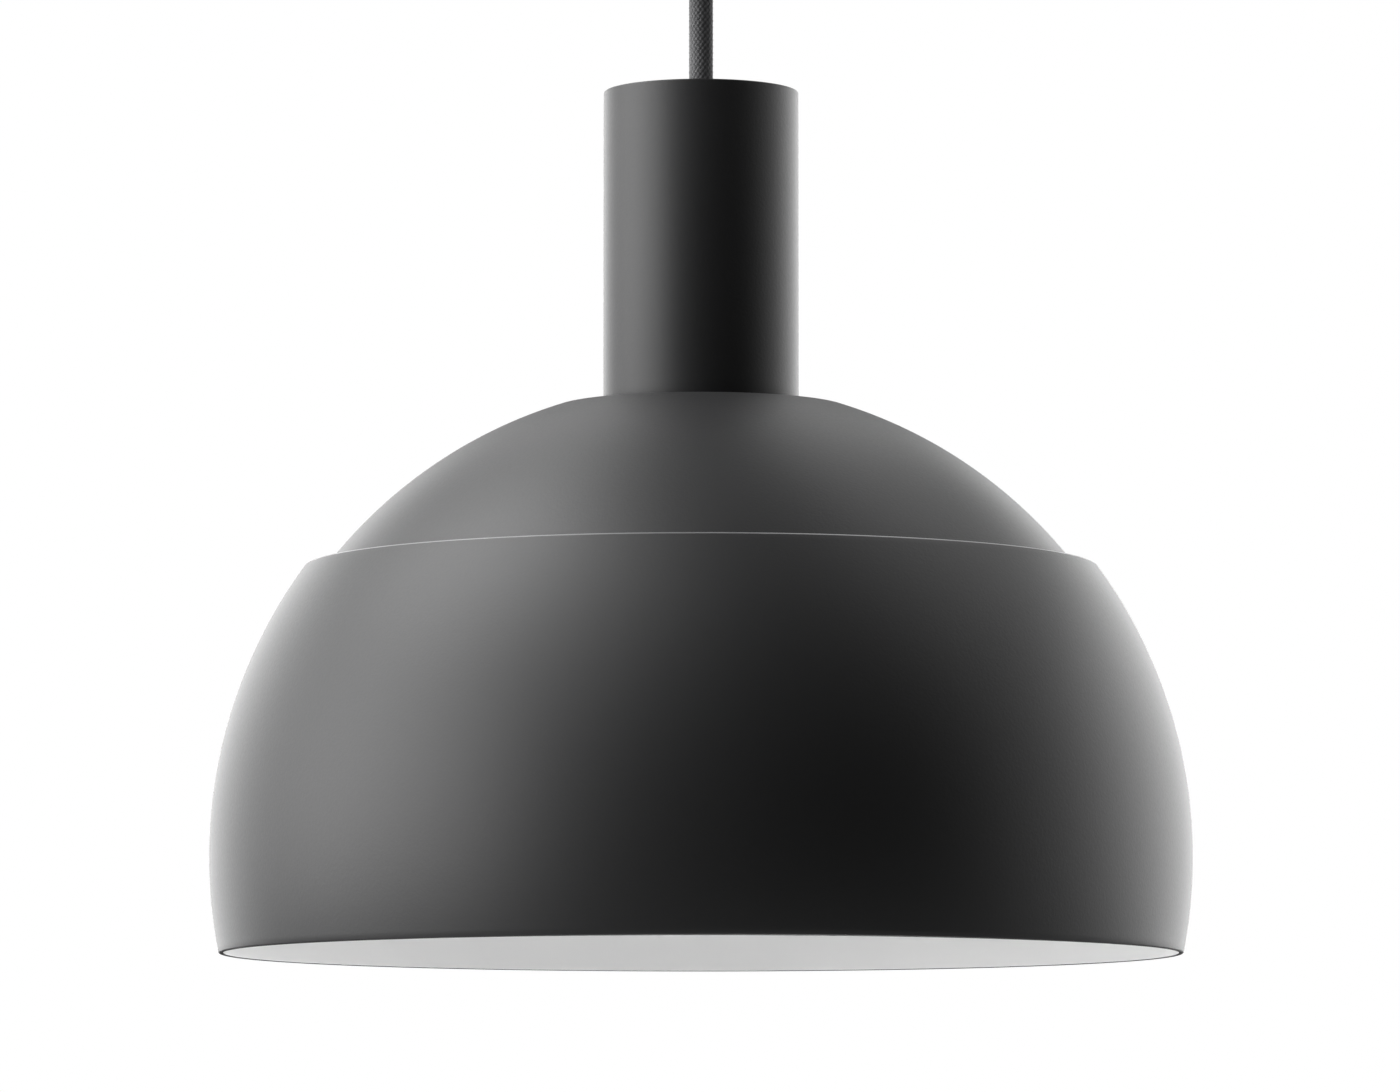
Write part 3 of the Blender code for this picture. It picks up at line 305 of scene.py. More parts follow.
# %% Powder coats
def powder_coat(name, colour, worn, roughness, grain_mm, relief):
    """A baked powder paint: its colour, the same a little worn, and the grain that roughens it.

    grain_mm is the grain's width and relief its height, both in millimetres.
    """
    made = bpy.data.materials.new(name)
    made.use_nodes = True
    tree = made.node_tree
    shader = tree.nodes["Principled BSDF"]
    shader.inputs["IOR"].default_value = 1.5
    place = add(tree, "ShaderNodeTexCoord").outputs["Object"]
    cloud = add(tree, "ShaderNodeTexNoise", {"Vector": place, "Scale": per_mm(60), "Detail": 3.0})
    grain = add(tree, "ShaderNodeTexNoise", {"Vector": place, "Scale": per_mm(grain_mm), "Detail": 2.0})
    tint = add(
        tree,
        "ShaderNodeMix",
        {"Factor": cloud.outputs["Fac"], "A": linear(colour), "B": linear(worn)},
        data_type="RGBA",
    )
    dull = add(
        tree,
        "ShaderNodeMapRange",
        {"Value": grain.outputs["Fac"], "To Min": roughness - 0.04, "To Max": roughness + 0.04},
    )
    bump = add(
        tree, "ShaderNodeBump", {"Height": grain.outputs["Fac"], "Strength": 1.0, "Distance": relief * MM}
    )
    tree.links.new(tint.outputs["Result"], shader.inputs["Base Color"])
    tree.links.new(dull.outputs["Result"], shader.inputs["Roughness"])
    tree.links.new(bump.outputs["Normal"], shader.inputs["Normal"])
    return made


GRAIN_MM = 0.9
BLACK_COAT = powder_coat(
    "black_fine_texture_powder_coat", "#161617", "#1a1a1b", roughness=0.5, grain_mm=GRAIN_MM, relief=0.03
)
WHITE_COAT = powder_coat(
    "white_matt_powder_coat", "#f1f1f1", "#ededed", roughness=0.6, grain_mm=GRAIN_MM, relief=0.01
)
# Paint runs thin over a trimmed edge and is rubbed there, so it is smoother; its light grey is a painted
# highlight, the line of light along the ring's top edge.
RUBBED_EDGE_AND_HIGHLIGHT = powder_coat(
    "rubbed_black_powder_coat_with_painted_highlight", "#7e7e7f", "#646465", roughness=0.35, grain_mm=GRAIN_MM, relief=0.006
)

# %% [markdown]
# ## Braided cable
# The cable's sheath is a tubular braid of polyester yarn: sixteen yarns run round each way and pass
# over and under each other, so each crossing is a small raised lozenge. The braid is real relief
# here. A flat grid is rolled into a tube, and each of its points is lifted by how high the upper
# yarn stands there. Polyester filaments are dull with a soft sheen at the edges.

# %% Braid yarn
BRAID_DEPTH = 0.3 * MM
CARRIERS = 16  # yarns each way
YARN_PITCH = 2.0 * MM  # along the cable; the real 1.4 mm is too fine to show
STEPS_PER_YARN = 6
YARN_ROUNDNESS = 0.7  # the power of a sine: below 1, a yarn is fuller than a half wave
YARN_EDGE, YARN_SWELL = 0.55, 0.45  # its height at a crossing's edge, and what it gains at the middle
SEAM = 0.005 * MM  # the grid's two long sides meet within this
FEWEST_ROWS = 8

yarn = bpy.data.materials.new("braided_polyester")
yarn.use_nodes = True
tree = yarn.node_tree
shader = tree.nodes["Principled BSDF"]
shader.inputs["IOR"].default_value = 1.55
shader.inputs["Roughness"].default_value = 0.75
shader.inputs["Sheen Weight"].default_value = 0.35
shader.inputs["Sheen Roughness"].default_value = 0.4
place = add(tree, "ShaderNodeTexCoord").outputs["Object"]
# Filaments of about 0.02 mm are drawn 0.15 mm wide, or a render could not show them.
filament = add(tree, "ShaderNodeTexNoise", {"Vector": place, "Scale": per_mm(0.15), "Detail": 2.0})
raised = add(tree, "ShaderNodeAttribute", attribute_name="yarn_height")
# Painted shade: by the yarn's height, the braid's valleys are coloured near black and the raised yarn tops
# mid grey.
shade = add(
    tree,
    "ShaderNodeMix",
    {"Factor": raised.outputs["Fac"], "A": linear("#060606"), "B": linear("#6e6e70")},
    data_type="RGBA",
)
strands = add(tree, "ShaderNodeMapRange", {"Value": filament.outputs["Fac"], "To Max": 0.4})
mottle_and_valley_shade = add(
    tree,
    "ShaderNodeMix",
    {"Factor": strands.outputs["Result"], "A": shade.outputs["Result"], "B": linear("#3a3a3b")},
    data_type="RGBA",
)
bump = add(tree, "ShaderNodeBump", {"Height": filament.outputs["Fac"], "Distance": 0.04 * MM})
tree.links.new(mottle_and_valley_shade.outputs["Result"], shader.inputs["Base Color"])
tree.links.new(bump.outputs["Normal"], shader.inputs["Normal"])

# %% [markdown]
# The yarns are two sets of slanted stripes, one leaning each way, and each stripe has a number. Where
# the two numbers add up to an even sum the one set is on top, and otherwise the other. The height is
# kept as an attribute, which the material reads to paint shade into the valleys between the yarns.


# %% Braid a sheath
def yarn_height(turn, z):
    """How high the upper yarn stands, from 0 to 1, at that share of a turn and that height."""
    right = turn * CARRIERS + z / YARN_PITCH
    left = turn * CARRIERS - z / YARN_PITCH
    over, under = right % 1, left % 1
    if (math.floor(right) + math.floor(left)) % 2:
        over, under = under, over
    across, along = math.sin(math.pi * over), math.sin(math.pi * under)
    return across**YARN_ROUNDNESS * (YARN_EDGE + YARN_SWELL * along)


def braided(low, high, radius_at):
    """A closed braided tube on the axis from one height to another. radius_at gives its radius."""
    around = CARRIERS * STEPS_PER_YARN
    rows = max(FEWEST_ROWS, round((high - low) / YARN_PITCH * STEPS_PER_YARN))
    bm = bmesh.new()
    relief = bm.verts.layers.float.new("yarn_height")
    bmesh.ops.create_grid(bm, x_segments=around, y_segments=rows, size=0.5)
    for vert in bm.verts:
        turn, z = vert.co.x + 0.5, low + (vert.co.y + 0.5) * (high - low)
        height = yarn_height(turn, z)
        radius = radius_at(z) - BRAID_DEPTH * (1 - height)
        vert[relief] = height
        vert.co = (radius * math.cos(turn * math.tau), radius * math.sin(turn * math.tau), z)
    bmesh.ops.remove_doubles(bm, verts=bm.verts, dist=SEAM)
    bmesh.ops.holes_fill(bm, edges=[e for e in bm.edges if e.is_boundary], sides=0)
    bmesh.ops.recalc_face_normals(bm, faces=bm.faces)
    return bm

# %% [markdown]
# The cable hangs taut between the rose and the socket cover, so it is straight.

# %% The hanging cable
cable_low, cable_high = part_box("hanging_cable")
CABLE_RADIUS = (cable_high.x - cable_low.x) / 2
hanging = finished(
    "hanging_cable_braid",
    braided(cable_low.z, cable_high.z, lambda z: CABLE_RADIUS),
    [yarn],
    "pendant",
    ["hanging_cable"],
)
rose_low, rose_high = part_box("rose_bushing")

# %% [markdown]
# Inside the rose the same cable goes on up through its grip, and a ball of it sits where the cable
# bends in the trumpet's throat.

# %% The cable in the rose
neck_low, neck_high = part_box("cable_neck")
neck_z = (neck_low.z + neck_high.z) / 2
NECK_END = 0.4 * MM  # the ball's two flat ends


def ball_radius(z):
    """The ball's radius at that height, just big enough to bury the braid's valleys."""
    return math.sqrt(max(CABLE_RADIUS**2 - (z - neck_z) ** 2, 0)) + BRAID_DEPTH / 2


finished(
    "neck_braid",
    braided(neck_low.z + NECK_END, neck_high.z - NECK_END, ball_radius),
    [yarn],
    "cable_neck",
    ["cable_neck"],
)
stub_low, stub_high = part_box("rose_cable")
finished(
    "rose_cable_braid",
    braided(stub_low.z, stub_high.z, lambda z: CABLE_RADIUS),
    [yarn],
    "ceiling_rose",
    ["rose_cable"],
)

# %% [markdown]
# ## The shade's lower shell
# The ring is a band of a sphere, spun over a former and trimmed flat at both ends. It could be a
# sphere cut by two planes and given a thickness, but turning the finished wall as one closed
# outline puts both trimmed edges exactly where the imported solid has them. The black paint wraps
# over the edges, and the inside is sprayed white.

# %% Ring
EDGE, EDGE_STEPS = 0.45 * MM, 3  # the radius that deburring and paint leave on a trimmed edge
RING_STEPS = 56
INSIDE = -0.8  # a face is inside where its normal points this much at the sphere's centre


def paint_inside(bm, centre):
    """Gives the second material to the faces that look at the sphere's centre."""
    for face in bm.faces:
        outwards = (face.calc_center_median() - centre).normalized()
        if face.normal.dot(outwards) < INSIDE:
            face.material_index = 1


def band(radius, low, high, steps):
    """An arc of a sphere's outline between two heights above its centre."""
    return arc(0, shade_centre.z, radius, math.asin(low / radius), math.asin(high / radius), steps)


ring_top = ring_high.z - shade_centre.z
outline = band(RING_RADIUS, -RIM_DROP, ring_top, RING_STEPS)
outline += band(RING_RADIUS - SHEET, -RIM_DROP, ring_top, RING_STEPS)[::-1]
bm = soften(turned(outline, FINE), EDGE, EDGE_STEPS)
paint_inside(bm, shade_centre)
top_radius = math.sqrt(RING_RADIUS**2 - ring_top**2)
RUBBED_AND_HIGHLIGHT = 2  # the place of the rubbed paint with its painted highlight among the ring's materials
for face in bm.faces:  # the outer corner of the top edge, which hands and cloths rub, painted light grey as a highlight line
    middle = face.calc_center_median()
    if middle.z > ring_high.z - EDGE and middle.xy.length > top_radius - EDGE:
        face.material_index = RUBBED_AND_HIGHLIGHT
finished(
    "ring_spinning",
    bm,
    [BLACK_COAT, WHITE_COAT, RUBBED_EDGE_AND_HIGHLIGHT],
    "shade",
    ["ring_shell"],
)

# %% [markdown]
# ## The shade's upper shell
# The dome has the same centre and a slightly smaller radius, so an even gap runs between the two
# shells. Its crown is flat, with a rounded shoulder, and a hole for the lampholder's skirt. Three
# screws from inside hold it to the spacers on the ring.

# %% Dome
dome_low, dome_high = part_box("dome_shell")
SHELL_GAP = 3.8 * MM
DOME_RADIUS = RING_RADIUS - SHEET - SHELL_GAP
CROWN_FILLET = 8 * MM
DOME_STEPS, FILLET_STEPS = 40, 10
skirt_low, skirt_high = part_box("lampholder_body")
HOLDER_LIP = 0.25 * MM  # from the skirt's thread out to the holder's side
thread_radius = skirt_high.x - HOLDER_LIP
hem, crown = dome_low.z - shade_centre.z, dome_high.z - shade_centre.z
fillet_z = crown - CROWN_FILLET
fillet_r = math.sqrt((DOME_RADIUS - CROWN_FILLET) ** 2 - fillet_z**2)
shoulder = math.atan2(fillet_z, fillet_r)


def dome_side(inset):
    """The dome's outline that far in from its outside, from the hem to the hole in the crown."""
    sphere = DOME_RADIUS - inset
    up = arc(0, shade_centre.z, sphere, math.asin(hem / sphere), shoulder, DOME_STEPS)
    fillet = CROWN_FILLET - inset
    over = arc(fillet_r, shade_centre.z + fillet_z, fillet, shoulder, math.pi / 2, FILLET_STEPS)
    return up + over[1:] + [(thread_radius + 2 * GAP, dome_high.z - inset)]


bm = soften(turned(dome_side(0) + dome_side(SHEET)[::-1], FINE), EDGE, EDGE_STEPS)
paint_inside(bm, shade_centre)
dome = finished("dome_spinning", bm, [BLACK_COAT, WHITE_COAT], "shade", ["dome_shell"])

# %% [markdown]
# ## Holes
# A drilled hole is a cylinder taken out with an exact Boolean. The modifier is applied at once, so
# that the finished piece carries no cutter with it.


# %% Drill
def drill(piece, radius, start, end):
    """A round hole through the piece, from one point to another."""
    bm = bmesh.new()
    bmesh.ops.create_cone(
        bm, cap_ends=True, segments=SMALL, radius1=radius, radius2=radius, depth=(end - start).length
    )
    turn = (end - start).to_track_quat("Z", "Y").to_matrix().to_4x4()
    bmesh.ops.transform(bm, verts=bm.verts, matrix=Matrix.Translation((start + end) / 2) @ turn)
    cut_with(piece, bm)


def cut_with(piece, bm):
    """Takes the bmesh's shape out of the piece."""
    mesh = bpy.data.meshes.new("cutter")
    bm.to_mesh(mesh)
    bm.free()
    for look in piece.data.materials:
        mesh.materials.append(look)
    cutter = bpy.data.objects.new("cutter", mesh)
    bpy.context.scene.collection.objects.link(cutter)
    boolean = piece.modifiers.new("cut", "BOOLEAN")
    boolean.operation, boolean.solver, boolean.object = "DIFFERENCE", "EXACT", cutter
    bpy.context.view_layer.update()
    cut = bpy.data.meshes.new_from_object(piece.evaluated_get(bpy.context.evaluated_depsgraph_get()))
    piece.modifiers.clear()
    old, piece.data = piece.data, cut
    name = old.name
    bpy.data.meshes.remove(old)
    cut.name = name
    cut.set_sharp_from_angle(angle=math.radians(SHARP_EDGE))  # the cut's own rim is sharp
    bpy.data.objects.remove(cutter)


# %% [markdown]
# ## Spacers and screws
# Each spacer is a block of metal welded inside the ring and tapped for a pan-head screw. The screw
# is turned in one piece and slotted across its head.

# %% Spacers and their screws
SPACER_SIZE = 12 * MM
SCREW_RADIUS = 1.8 * MM
# A screw's other sizes are shares of its shank's radius, so that every size has the same look.
HEAD_RATIO, HEAD_HEIGHT = 1.9, 1.2  # a pan head's radius and height
TIP_RATIO, TIP_LENGTH = 0.8, 0.2  # the chamfer at the shank's end
SLOT_LENGTH, SLOT_WIDTH = 6, 0.45
HEAD_SIDE, HEAD_ROUNDING, ROUNDING_STEPS = 0.3, 0.7, 8  # these two are shares of the head's height


def pan_screw(shank, length):
    """A pan-head screw's outline turned about Z, the underside of its head at 0."""
    head, tall = shank * HEAD_RATIO, shank * HEAD_HEIGHT
    outline = [(0, -length), (shank * TIP_RATIO, -length), (shank, -length + shank * TIP_LENGTH)]
    outline += [(shank, 0), (head, 0)]
    rounding = tall * HEAD_ROUNDING
    outline += arc(head - rounding, tall * HEAD_SIDE, rounding, 0, math.pi / 2, ROUNDING_STEPS)
    return turned(outline + [(0, tall)], SMALL)


def standing(bm, place, direction):
    """Moves a shape from the origin to that place, its Z along direction."""
    turn = direction.to_track_quat("Z", "Y").to_matrix().to_4x4()
    bmesh.ops.transform(bm, verts=bm.verts, matrix=Matrix.Translation(place) @ turn)
    return bm


def slot_cutter(shank):
    """The blade that cuts a screwdriver slot."""
    bm = bmesh.new()
    bmesh.ops.create_cube(bm, size=1)
    size = (shank * SLOT_LENGTH, shank * SLOT_WIDTH, shank * HEAD_HEIGHT)
    bmesh.ops.scale(bm, verts=bm.verts, vec=size)
    bmesh.ops.translate(bm, verts=bm.verts, vec=(0, 0, shank * HEAD_HEIGHT))
    return bm


def put_screw(name, shank, length, place, direction, look, body, node):
    """A slotted pan-head screw with its head's underside at place, facing along direction."""
    bm = standing(pan_screw(shank, length), place, direction)
    made = finished(name, bm, [look], body, [node])
    cut_with(made, standing(slot_cutter(shank), place, direction))


inner_face = DOME_RADIUS + GAP
DRILL_DEPTH = 4 * MM  # how far a drill goes in, past a sheet's inside
for i in (1, 2, 3):
    low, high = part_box(f"spacer_{i}")
    reach = (low + high) / 2 - shade_centre
    out = reach.normalized()
    outer_face = 2 * reach.length - inner_face
    bm = bmesh.new()
    bmesh.ops.create_cube(bm, size=1)
    bmesh.ops.scale(bm, verts=bm.verts, vec=(SPACER_SIZE, SPACER_SIZE, outer_face - inner_face))
    bm = standing(soften(bm, width=0.5 * MM, segments=3), shade_centre + reach, out)
    block = finished(f"spacer_block_{i}", bm, [WHITE_COAT], "shade", [f"spacer_{i}"])
    hole = SCREW_RADIUS + GAP
    drill(block, hole, shade_centre + out * (inner_face - MM), shade_centre + out * (outer_face + MM))
    drill_tip = shade_centre + out * (inner_face - DRILL_DEPTH)
    drill(dome, hole, drill_tip, shade_centre + out * (inner_face + MM))
    under_head = DOME_RADIUS - SHEET - GAP
    put_screw(
        f"spacer_pan_screw_{i}",
        SCREW_RADIUS,
        outer_face - under_head,
        shade_centre + out * under_head,
        -out,
        WHITE_COAT,
        "shade",
        f"spacer_screw_{i}",
    )

# %% [markdown]
# ## Socket cover
# The tube over the lampholder is drawn from one disc of metal, so its closed top runs round into
# its side in a small radius. Turning its wall as one outline keeps that radius true inside and out.

# %% Socket cover
cover_low, cover_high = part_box("socket_cover")
COVER_RADIUS = 30 * MM
COVER_EDGE = 0.5 * MM
CORNER_STEPS = 8  # round a drawn corner
BUSHING_WALL = 2.35 * MM
bushing_stem = CABLE_RADIUS + GAP + BUSHING_WALL
outline = [(bushing_stem + GAP, cover_high.z - SHEET), (bushing_stem + GAP, cover_high.z)]
corner = COVER_RADIUS - COVER_EDGE
outline += arc(corner, cover_high.z - COVER_EDGE, COVER_EDGE, math.pi / 2, 0, CORNER_STEPS)
outline += [(COVER_RADIUS, cover_low.z), (COVER_RADIUS - SHEET, cover_low.z)]
outline += [(COVER_RADIUS - SHEET, cover_high.z - SHEET)]
bm = soften(turned(outline, FINE), width=0.3 * MM, segments=3)
finished("cover_tube", bm, [BLACK_COAT], "pendant", ["socket_cover"])

# %% [markdown]
# ## Canopy
# The cup that hides the wiring at the ceiling is drawn in the same way. Its two side screws are
# black, so that they don't show, and reach through clearance holes into the bracket's ears.

# %% Canopy
canopy_low, canopy_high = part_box("canopy_cup")
CANOPY_RADIUS = 52 * MM
CANOPY_EDGE = 2 * MM
SCREW_BAND = 3 * MM  # a row of faces this far above and below the screws keeps their holes' cuts short
screw_low, screw_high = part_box("canopy_screw_left")
screw_level = (screw_low.z + screw_high.z) / 2
FLANGE_WIDTH = 3.7 * MM
stem_radius = rose_high.x - FLANGE_WIDTH
outline = [(CANOPY_RADIUS, canopy_high.z)]
corner = CANOPY_RADIUS - CANOPY_EDGE
outline += arc(corner, canopy_low.z + CANOPY_EDGE, CANOPY_EDGE, 0, -math.pi / 2, CORNER_STEPS)
outline += [(stem_radius + GAP, canopy_low.z), (stem_radius + GAP, canopy_low.z + SHEET)]
outline += [(CANOPY_RADIUS - SHEET, canopy_low.z + SHEET), (CANOPY_RADIUS - SHEET, canopy_high.z)]
band_low, band_high = screw_level - SCREW_BAND, screw_level + SCREW_BAND
outline[1:1] = [(CANOPY_RADIUS, band_high), (CANOPY_RADIUS, band_low)]
outline[-1:-1] = [(CANOPY_RADIUS - SHEET, band_low), (CANOPY_RADIUS - SHEET, band_high)]
bm = soften(turned(outline, FINE), width=0.3 * MM, segments=3)
canopy = finished("canopy_drawn_cup", bm, [BLACK_COAT], "ceiling_rose", ["canopy_cup"])
for name, side in (("left", -1), ("right", 1)):
    low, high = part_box(f"canopy_screw_{name}")
    out = Vector((side, 0, 0))
    tip = low.x if side > 0 else high.x
    place = Vector((side * (CANOPY_RADIUS + GAP), 0, screw_level))
    drill(canopy, SCREW_RADIUS + GAP, place - out * DRILL_DEPTH, place + out * 2 * MM)
    put_screw(
        f"canopy_side_screw_{name}",
        SCREW_RADIUS,
        abs(place.x - tip),
        place,
        out,
        BLACK_COAT,
        "ceiling_rose",
        f"canopy_screw_{name}",
    )

# %% [markdown]
# ## Mouldings
# Nylon bushings guide the cable through both metal cups. The upper one flares like a trumpet, so
# that the cable bends round a curve and never over an edge. Injection-moulded nylon has a satin
# skin with the faint orange peel of the mould, and an IOR of about 1.53.


# %% Moulded plastics
def moulded(name, colour, varied, roughness, ior, peel_mm=2.5, relief=0.008):
    """A moulded plastic: its colour, a slightly different one that it drifts to, and its skin.

    peel_mm is the width of its orange peel and relief its height, both in millimetres.
    """
    made = bpy.data.materials.new(name)
    made.use_nodes = True
    tree = made.node_tree
    shader = tree.nodes["Principled BSDF"]
    shader.inputs["IOR"].default_value = ior
    place = add(tree, "ShaderNodeTexCoord").outputs["Object"]
    drift = add(tree, "ShaderNodeTexNoise", {"Vector": place, "Scale": per_mm(12), "Detail": 2.0})
    peel = add(tree, "ShaderNodeTexNoise", {"Vector": place, "Scale": per_mm(peel_mm), "Detail": 2.0})
    tint = add(
        tree,
        "ShaderNodeMix",
        {"Factor": drift.outputs["Fac"], "A": linear(colour), "B": linear(varied)},
        data_type="RGBA",
    )
    gloss = add(
        tree,
        "ShaderNodeMapRange",
        {"Value": peel.outputs["Fac"], "To Min": roughness - 0.05, "To Max": roughness + 0.05},
    )
    bump = add(tree, "ShaderNodeBump", {"Height": peel.outputs["Fac"], "Distance": relief * MM})
    tree.links.new(tint.outputs["Result"], shader.inputs["Base Color"])
    tree.links.new(gloss.outputs["Result"], shader.inputs["Roughness"])
    tree.links.new(bump.outputs["Normal"], shader.inputs["Normal"])
    return made


NYLON_IOR, PHENOLIC_IOR, PBT_IOR = 1.53, 1.6, 1.57
BLACK_NYLON = moulded("moulded_black_nylon", "#1c1c1d", "#232324", roughness=0.42, ior=NYLON_IOR)
PHENOLIC = moulded(
    "moulded_black_phenolic", "#171413", "#241d1a", roughness=0.3, ior=PHENOLIC_IOR, peel_mm=4
)
WHITE_PBT = moulded("moulded_white_pbt", "#efefed", "#e9e9e6", roughness=0.38, ior=PBT_IOR)
NATURAL_NYLON = moulded("moulded_natural_nylon", "#e6e1d3", "#ddd6c4", roughness=0.45, ior=NYLON_IOR)
shader = NATURAL_NYLON.node_tree.nodes["Principled BSDF"]
shader.inputs["Subsurface Weight"].default_value = 0.3
shader.inputs["Subsurface Scale"].default_value = 2 * MM
shader.inputs["Subsurface Radius"].default_value = (1, 0.8, 0.6)
# Two mineral ones are pressed to shape too: dull fired steatite, and the black glass of a bulb's cap.
STEATITE = moulded(
    "fired_steatite", "#e9e4d8", "#e2dccd", roughness=0.55, ior=1.57, peel_mm=0.6, relief=0.02
)
VITRITE = moulded(
    "pressed_black_glass", "#0d0d10", "#121216", roughness=0.12, ior=1.6, peel_mm=3, relief=0.004
)

# %% [markdown]
# Each bushing is a flange with a stem. The trumpet opens along a power of the depth: slowly at the
# throat, where the cable starts to bend, and faster at the mouth.

# %% Bushings
FLANGE_HEIGHT, FLANGE_EDGE, FLANGE_EDGE_STEPS = 3 * MM, 1 * MM, 6
TRUMPET_PLAY, TRUMPET_FLARE, TRUMPET_DEPTH = 0.55 * MM, 4 * MM, 9 * MM
throat = CABLE_RADIUS + GAP + TRUMPET_PLAY
mouth_z, flange_top = rose_low.z, rose_low.z + FLANGE_HEIGHT
outline = [(stem_radius, rose_high.z), (stem_radius, flange_top), (rose_high.x, flange_top)]
corner = (rose_high.x - FLANGE_EDGE, mouth_z + FLANGE_EDGE)
outline += arc(*corner, FLANGE_EDGE, 0, -math.pi / 2, FLANGE_EDGE_STEPS)
FLARE_STEPS, FLARE_POWER = 16, 1.3
for i in range(FLARE_STEPS + 1):
    below = 1 - i / FLARE_STEPS
    outline.append((throat + TRUMPET_FLARE * below**FLARE_POWER, mouth_z + TRUMPET_DEPTH * (1 - below)))
outline.append((throat, rose_high.z))
bm = soften(turned(outline, MEDIUM), width=0.25 * MM, sharper=50)
finished("trumpet_bushing", bm, [BLACK_NYLON], "ceiling_rose", ["rose_bushing"])

low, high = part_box("cover_bushing")
stem_top = cover_high.z + GAP
outline = [(CABLE_RADIUS + GAP, low.z), (CABLE_RADIUS + GAP, high.z)]
corner = (high.x - FLANGE_EDGE, high.z - FLANGE_EDGE)
outline += arc(*corner, FLANGE_EDGE, math.pi / 2, 0, FLANGE_EDGE_STEPS)
outline += [(high.x, stem_top), (bushing_stem, stem_top), (bushing_stem, low.z)]
bm = soften(turned(outline, MEDIUM), width=0.25 * MM, sharper=50)
finished("cover_top_bushing", bm, [BLACK_NYLON], "pendant", ["cover_bushing"])

# %% [markdown]
# ## Lampholder and collar
# The lampholder's skirt carries a coarse thread, drawn here as ridges of revolution, because its
# slant hardly shows. The part is compression-moulded phenolic, hard and glossy.

# %% Lampholder body
THREAD_DEPTH, THREAD_PITCH, THREAD_LENGTH = 0.75 * MM, 4 * MM, 26 * MM
SKIRT_WALL, HOLDER_WALL = 3.6 * MM, 2.2 * MM
COLLAR_LENGTH, COLLAR_SLOPE = 8 * MM, 1.5 * MM
root = thread_radius - THREAD_DEPTH
bore = root - SKIRT_WALL
outline = [(skirt_high.x, skirt_high.z), (skirt_high.x, skirt_high.z - COLLAR_LENGTH)]
outline.append((root, skirt_high.z - COLLAR_LENGTH - COLLAR_SLOPE))
RIDGE_STEPS = 8
turns = int((THREAD_LENGTH - MM) / THREAD_PITCH)
for i in range(turns * RIDGE_STEPS + 1):
    wave = (1 - math.cos(math.tau * i / RIDGE_STEPS)) / 2
    outline.append((root + THREAD_DEPTH * wave, skirt_low.z + THREAD_LENGTH - THREAD_PITCH * i / RIDGE_STEPS))
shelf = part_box("contact_block")[0].z - GAP
holder_bore = skirt_high.x - HOLDER_WALL
outline += [(root, skirt_low.z), (bore, skirt_low.z), (bore, shelf), (holder_bore, shelf)]
outline.append((holder_bore, skirt_high.z))
bm = soften(turned(outline, MEDIUM), width=0.3 * MM, sharper=50)
finished("lampholder_skirt", bm, [PHENOLIC], "pendant", ["lampholder_body"])

# %% [markdown]
# The collar screws up the skirt and clamps the shade against the cover, so its side is ribbed for
# the fingers. The ribs are the turned side with every point moved in along a wave.

# %% Collar
collar_low, collar_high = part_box("shade_ring")
COLLAR_WALL, COLLAR_FLANGE, COLLAR_PLAY = 4.4 * MM, 3 * MM, 1.2 * GAP
RIB_DEPTH, RIBS, STEPS_PER_RIB = 0.8 * MM, 36, 8
collar_bore = thread_radius + COLLAR_PLAY
grip = collar_bore + COLLAR_WALL
outline = [
    (collar_high.x, collar_high.z),
    (collar_high.x, collar_high.z - COLLAR_FLANGE),
    (grip, collar_high.z - COLLAR_FLANGE - MM),
    (grip, collar_low.z),
    (collar_bore, collar_low.z),
    (collar_bore, collar_high.z),
]
bm = soften(turned(outline, RIBS * STEPS_PER_RIB), width=0.4 * MM)
for vert in bm.verts:
    flat = Vector(vert.co.xy)
    if flat.length > grip - MM and vert.co.z < collar_high.z - COLLAR_FLANGE - MM / 2:
        wave = (1 - math.cos(RIBS * math.atan2(flat.y, flat.x))) / 2
        vert.co.xy = flat * (1 - RIB_DEPTH * wave / flat.length)
finished("clamping_collar", bm, [PHENOLIC], "shade_ring", ["shade_ring"])

# %% [markdown]
# The cap closes the lampholder from above and grips the stem tube that the lamp hangs on. A small
# screw through its neck stops it from turning, and needs a hole.

# %% Lampholder cap
cap_low, cap_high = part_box("lampholder_cap")
CAP_NECK_HEIGHT, CAP_ROOF_DROP, CAP_SHOULDER_DROP = 8.5 * MM, 3 * MM, 5.5 * MM
STEM_WALL, CAP_NECK_WALL = 0.95 * MM, 3.7 * MM
stem_fit = CABLE_RADIUS + 2 * GAP + STEM_WALL
neck = stem_fit + CAP_NECK_WALL
neck_end = cap_high.z - CAP_NECK_HEIGHT
shoulder_z = neck_end - CAP_SHOULDER_DROP
outline = [
    (neck, cap_high.z),
    (neck, neck_end),
    (cap_high.x - 3 * MM, neck_end - 2 * MM),
    (cap_high.x, shoulder_z),
    (cap_high.x, cap_low.z),
    (holder_bore, cap_low.z),
    (holder_bore, shoulder_z),
    (neck + 2 * MM, neck_end - CAP_ROOF_DROP),
    (stem_fit, neck_end - CAP_ROOF_DROP),
    (stem_fit, cap_high.z),
]
bm = soften(turned(outline, MEDIUM), width=0.6 * MM, segments=3, sharper=20)
holder_cap = finished("lampholder_top", bm, [PHENOLIC], "pendant", ["lampholder_cap"])
LOCK_SCREW_RADIUS = 1.3 * MM
lock_z = cap_high.z - CAP_NECK_HEIGHT / 2
drill(holder_cap, LOCK_SCREW_RADIUS + GAP, Vector((0, stem_fit - MM, lock_z)), Vector((0, neck + MM, lock_z)))

# %% [markdown]
# ## Bulb
# The shade is open below, so the bulb shows from underneath. Its globe is blown opal polycarbonate:
# light enters it and scatters, which subsurface scattering gives. A white housing carries it, and
# a nickel-plated cap of the 27 mm screw size goes up into the lampholder.

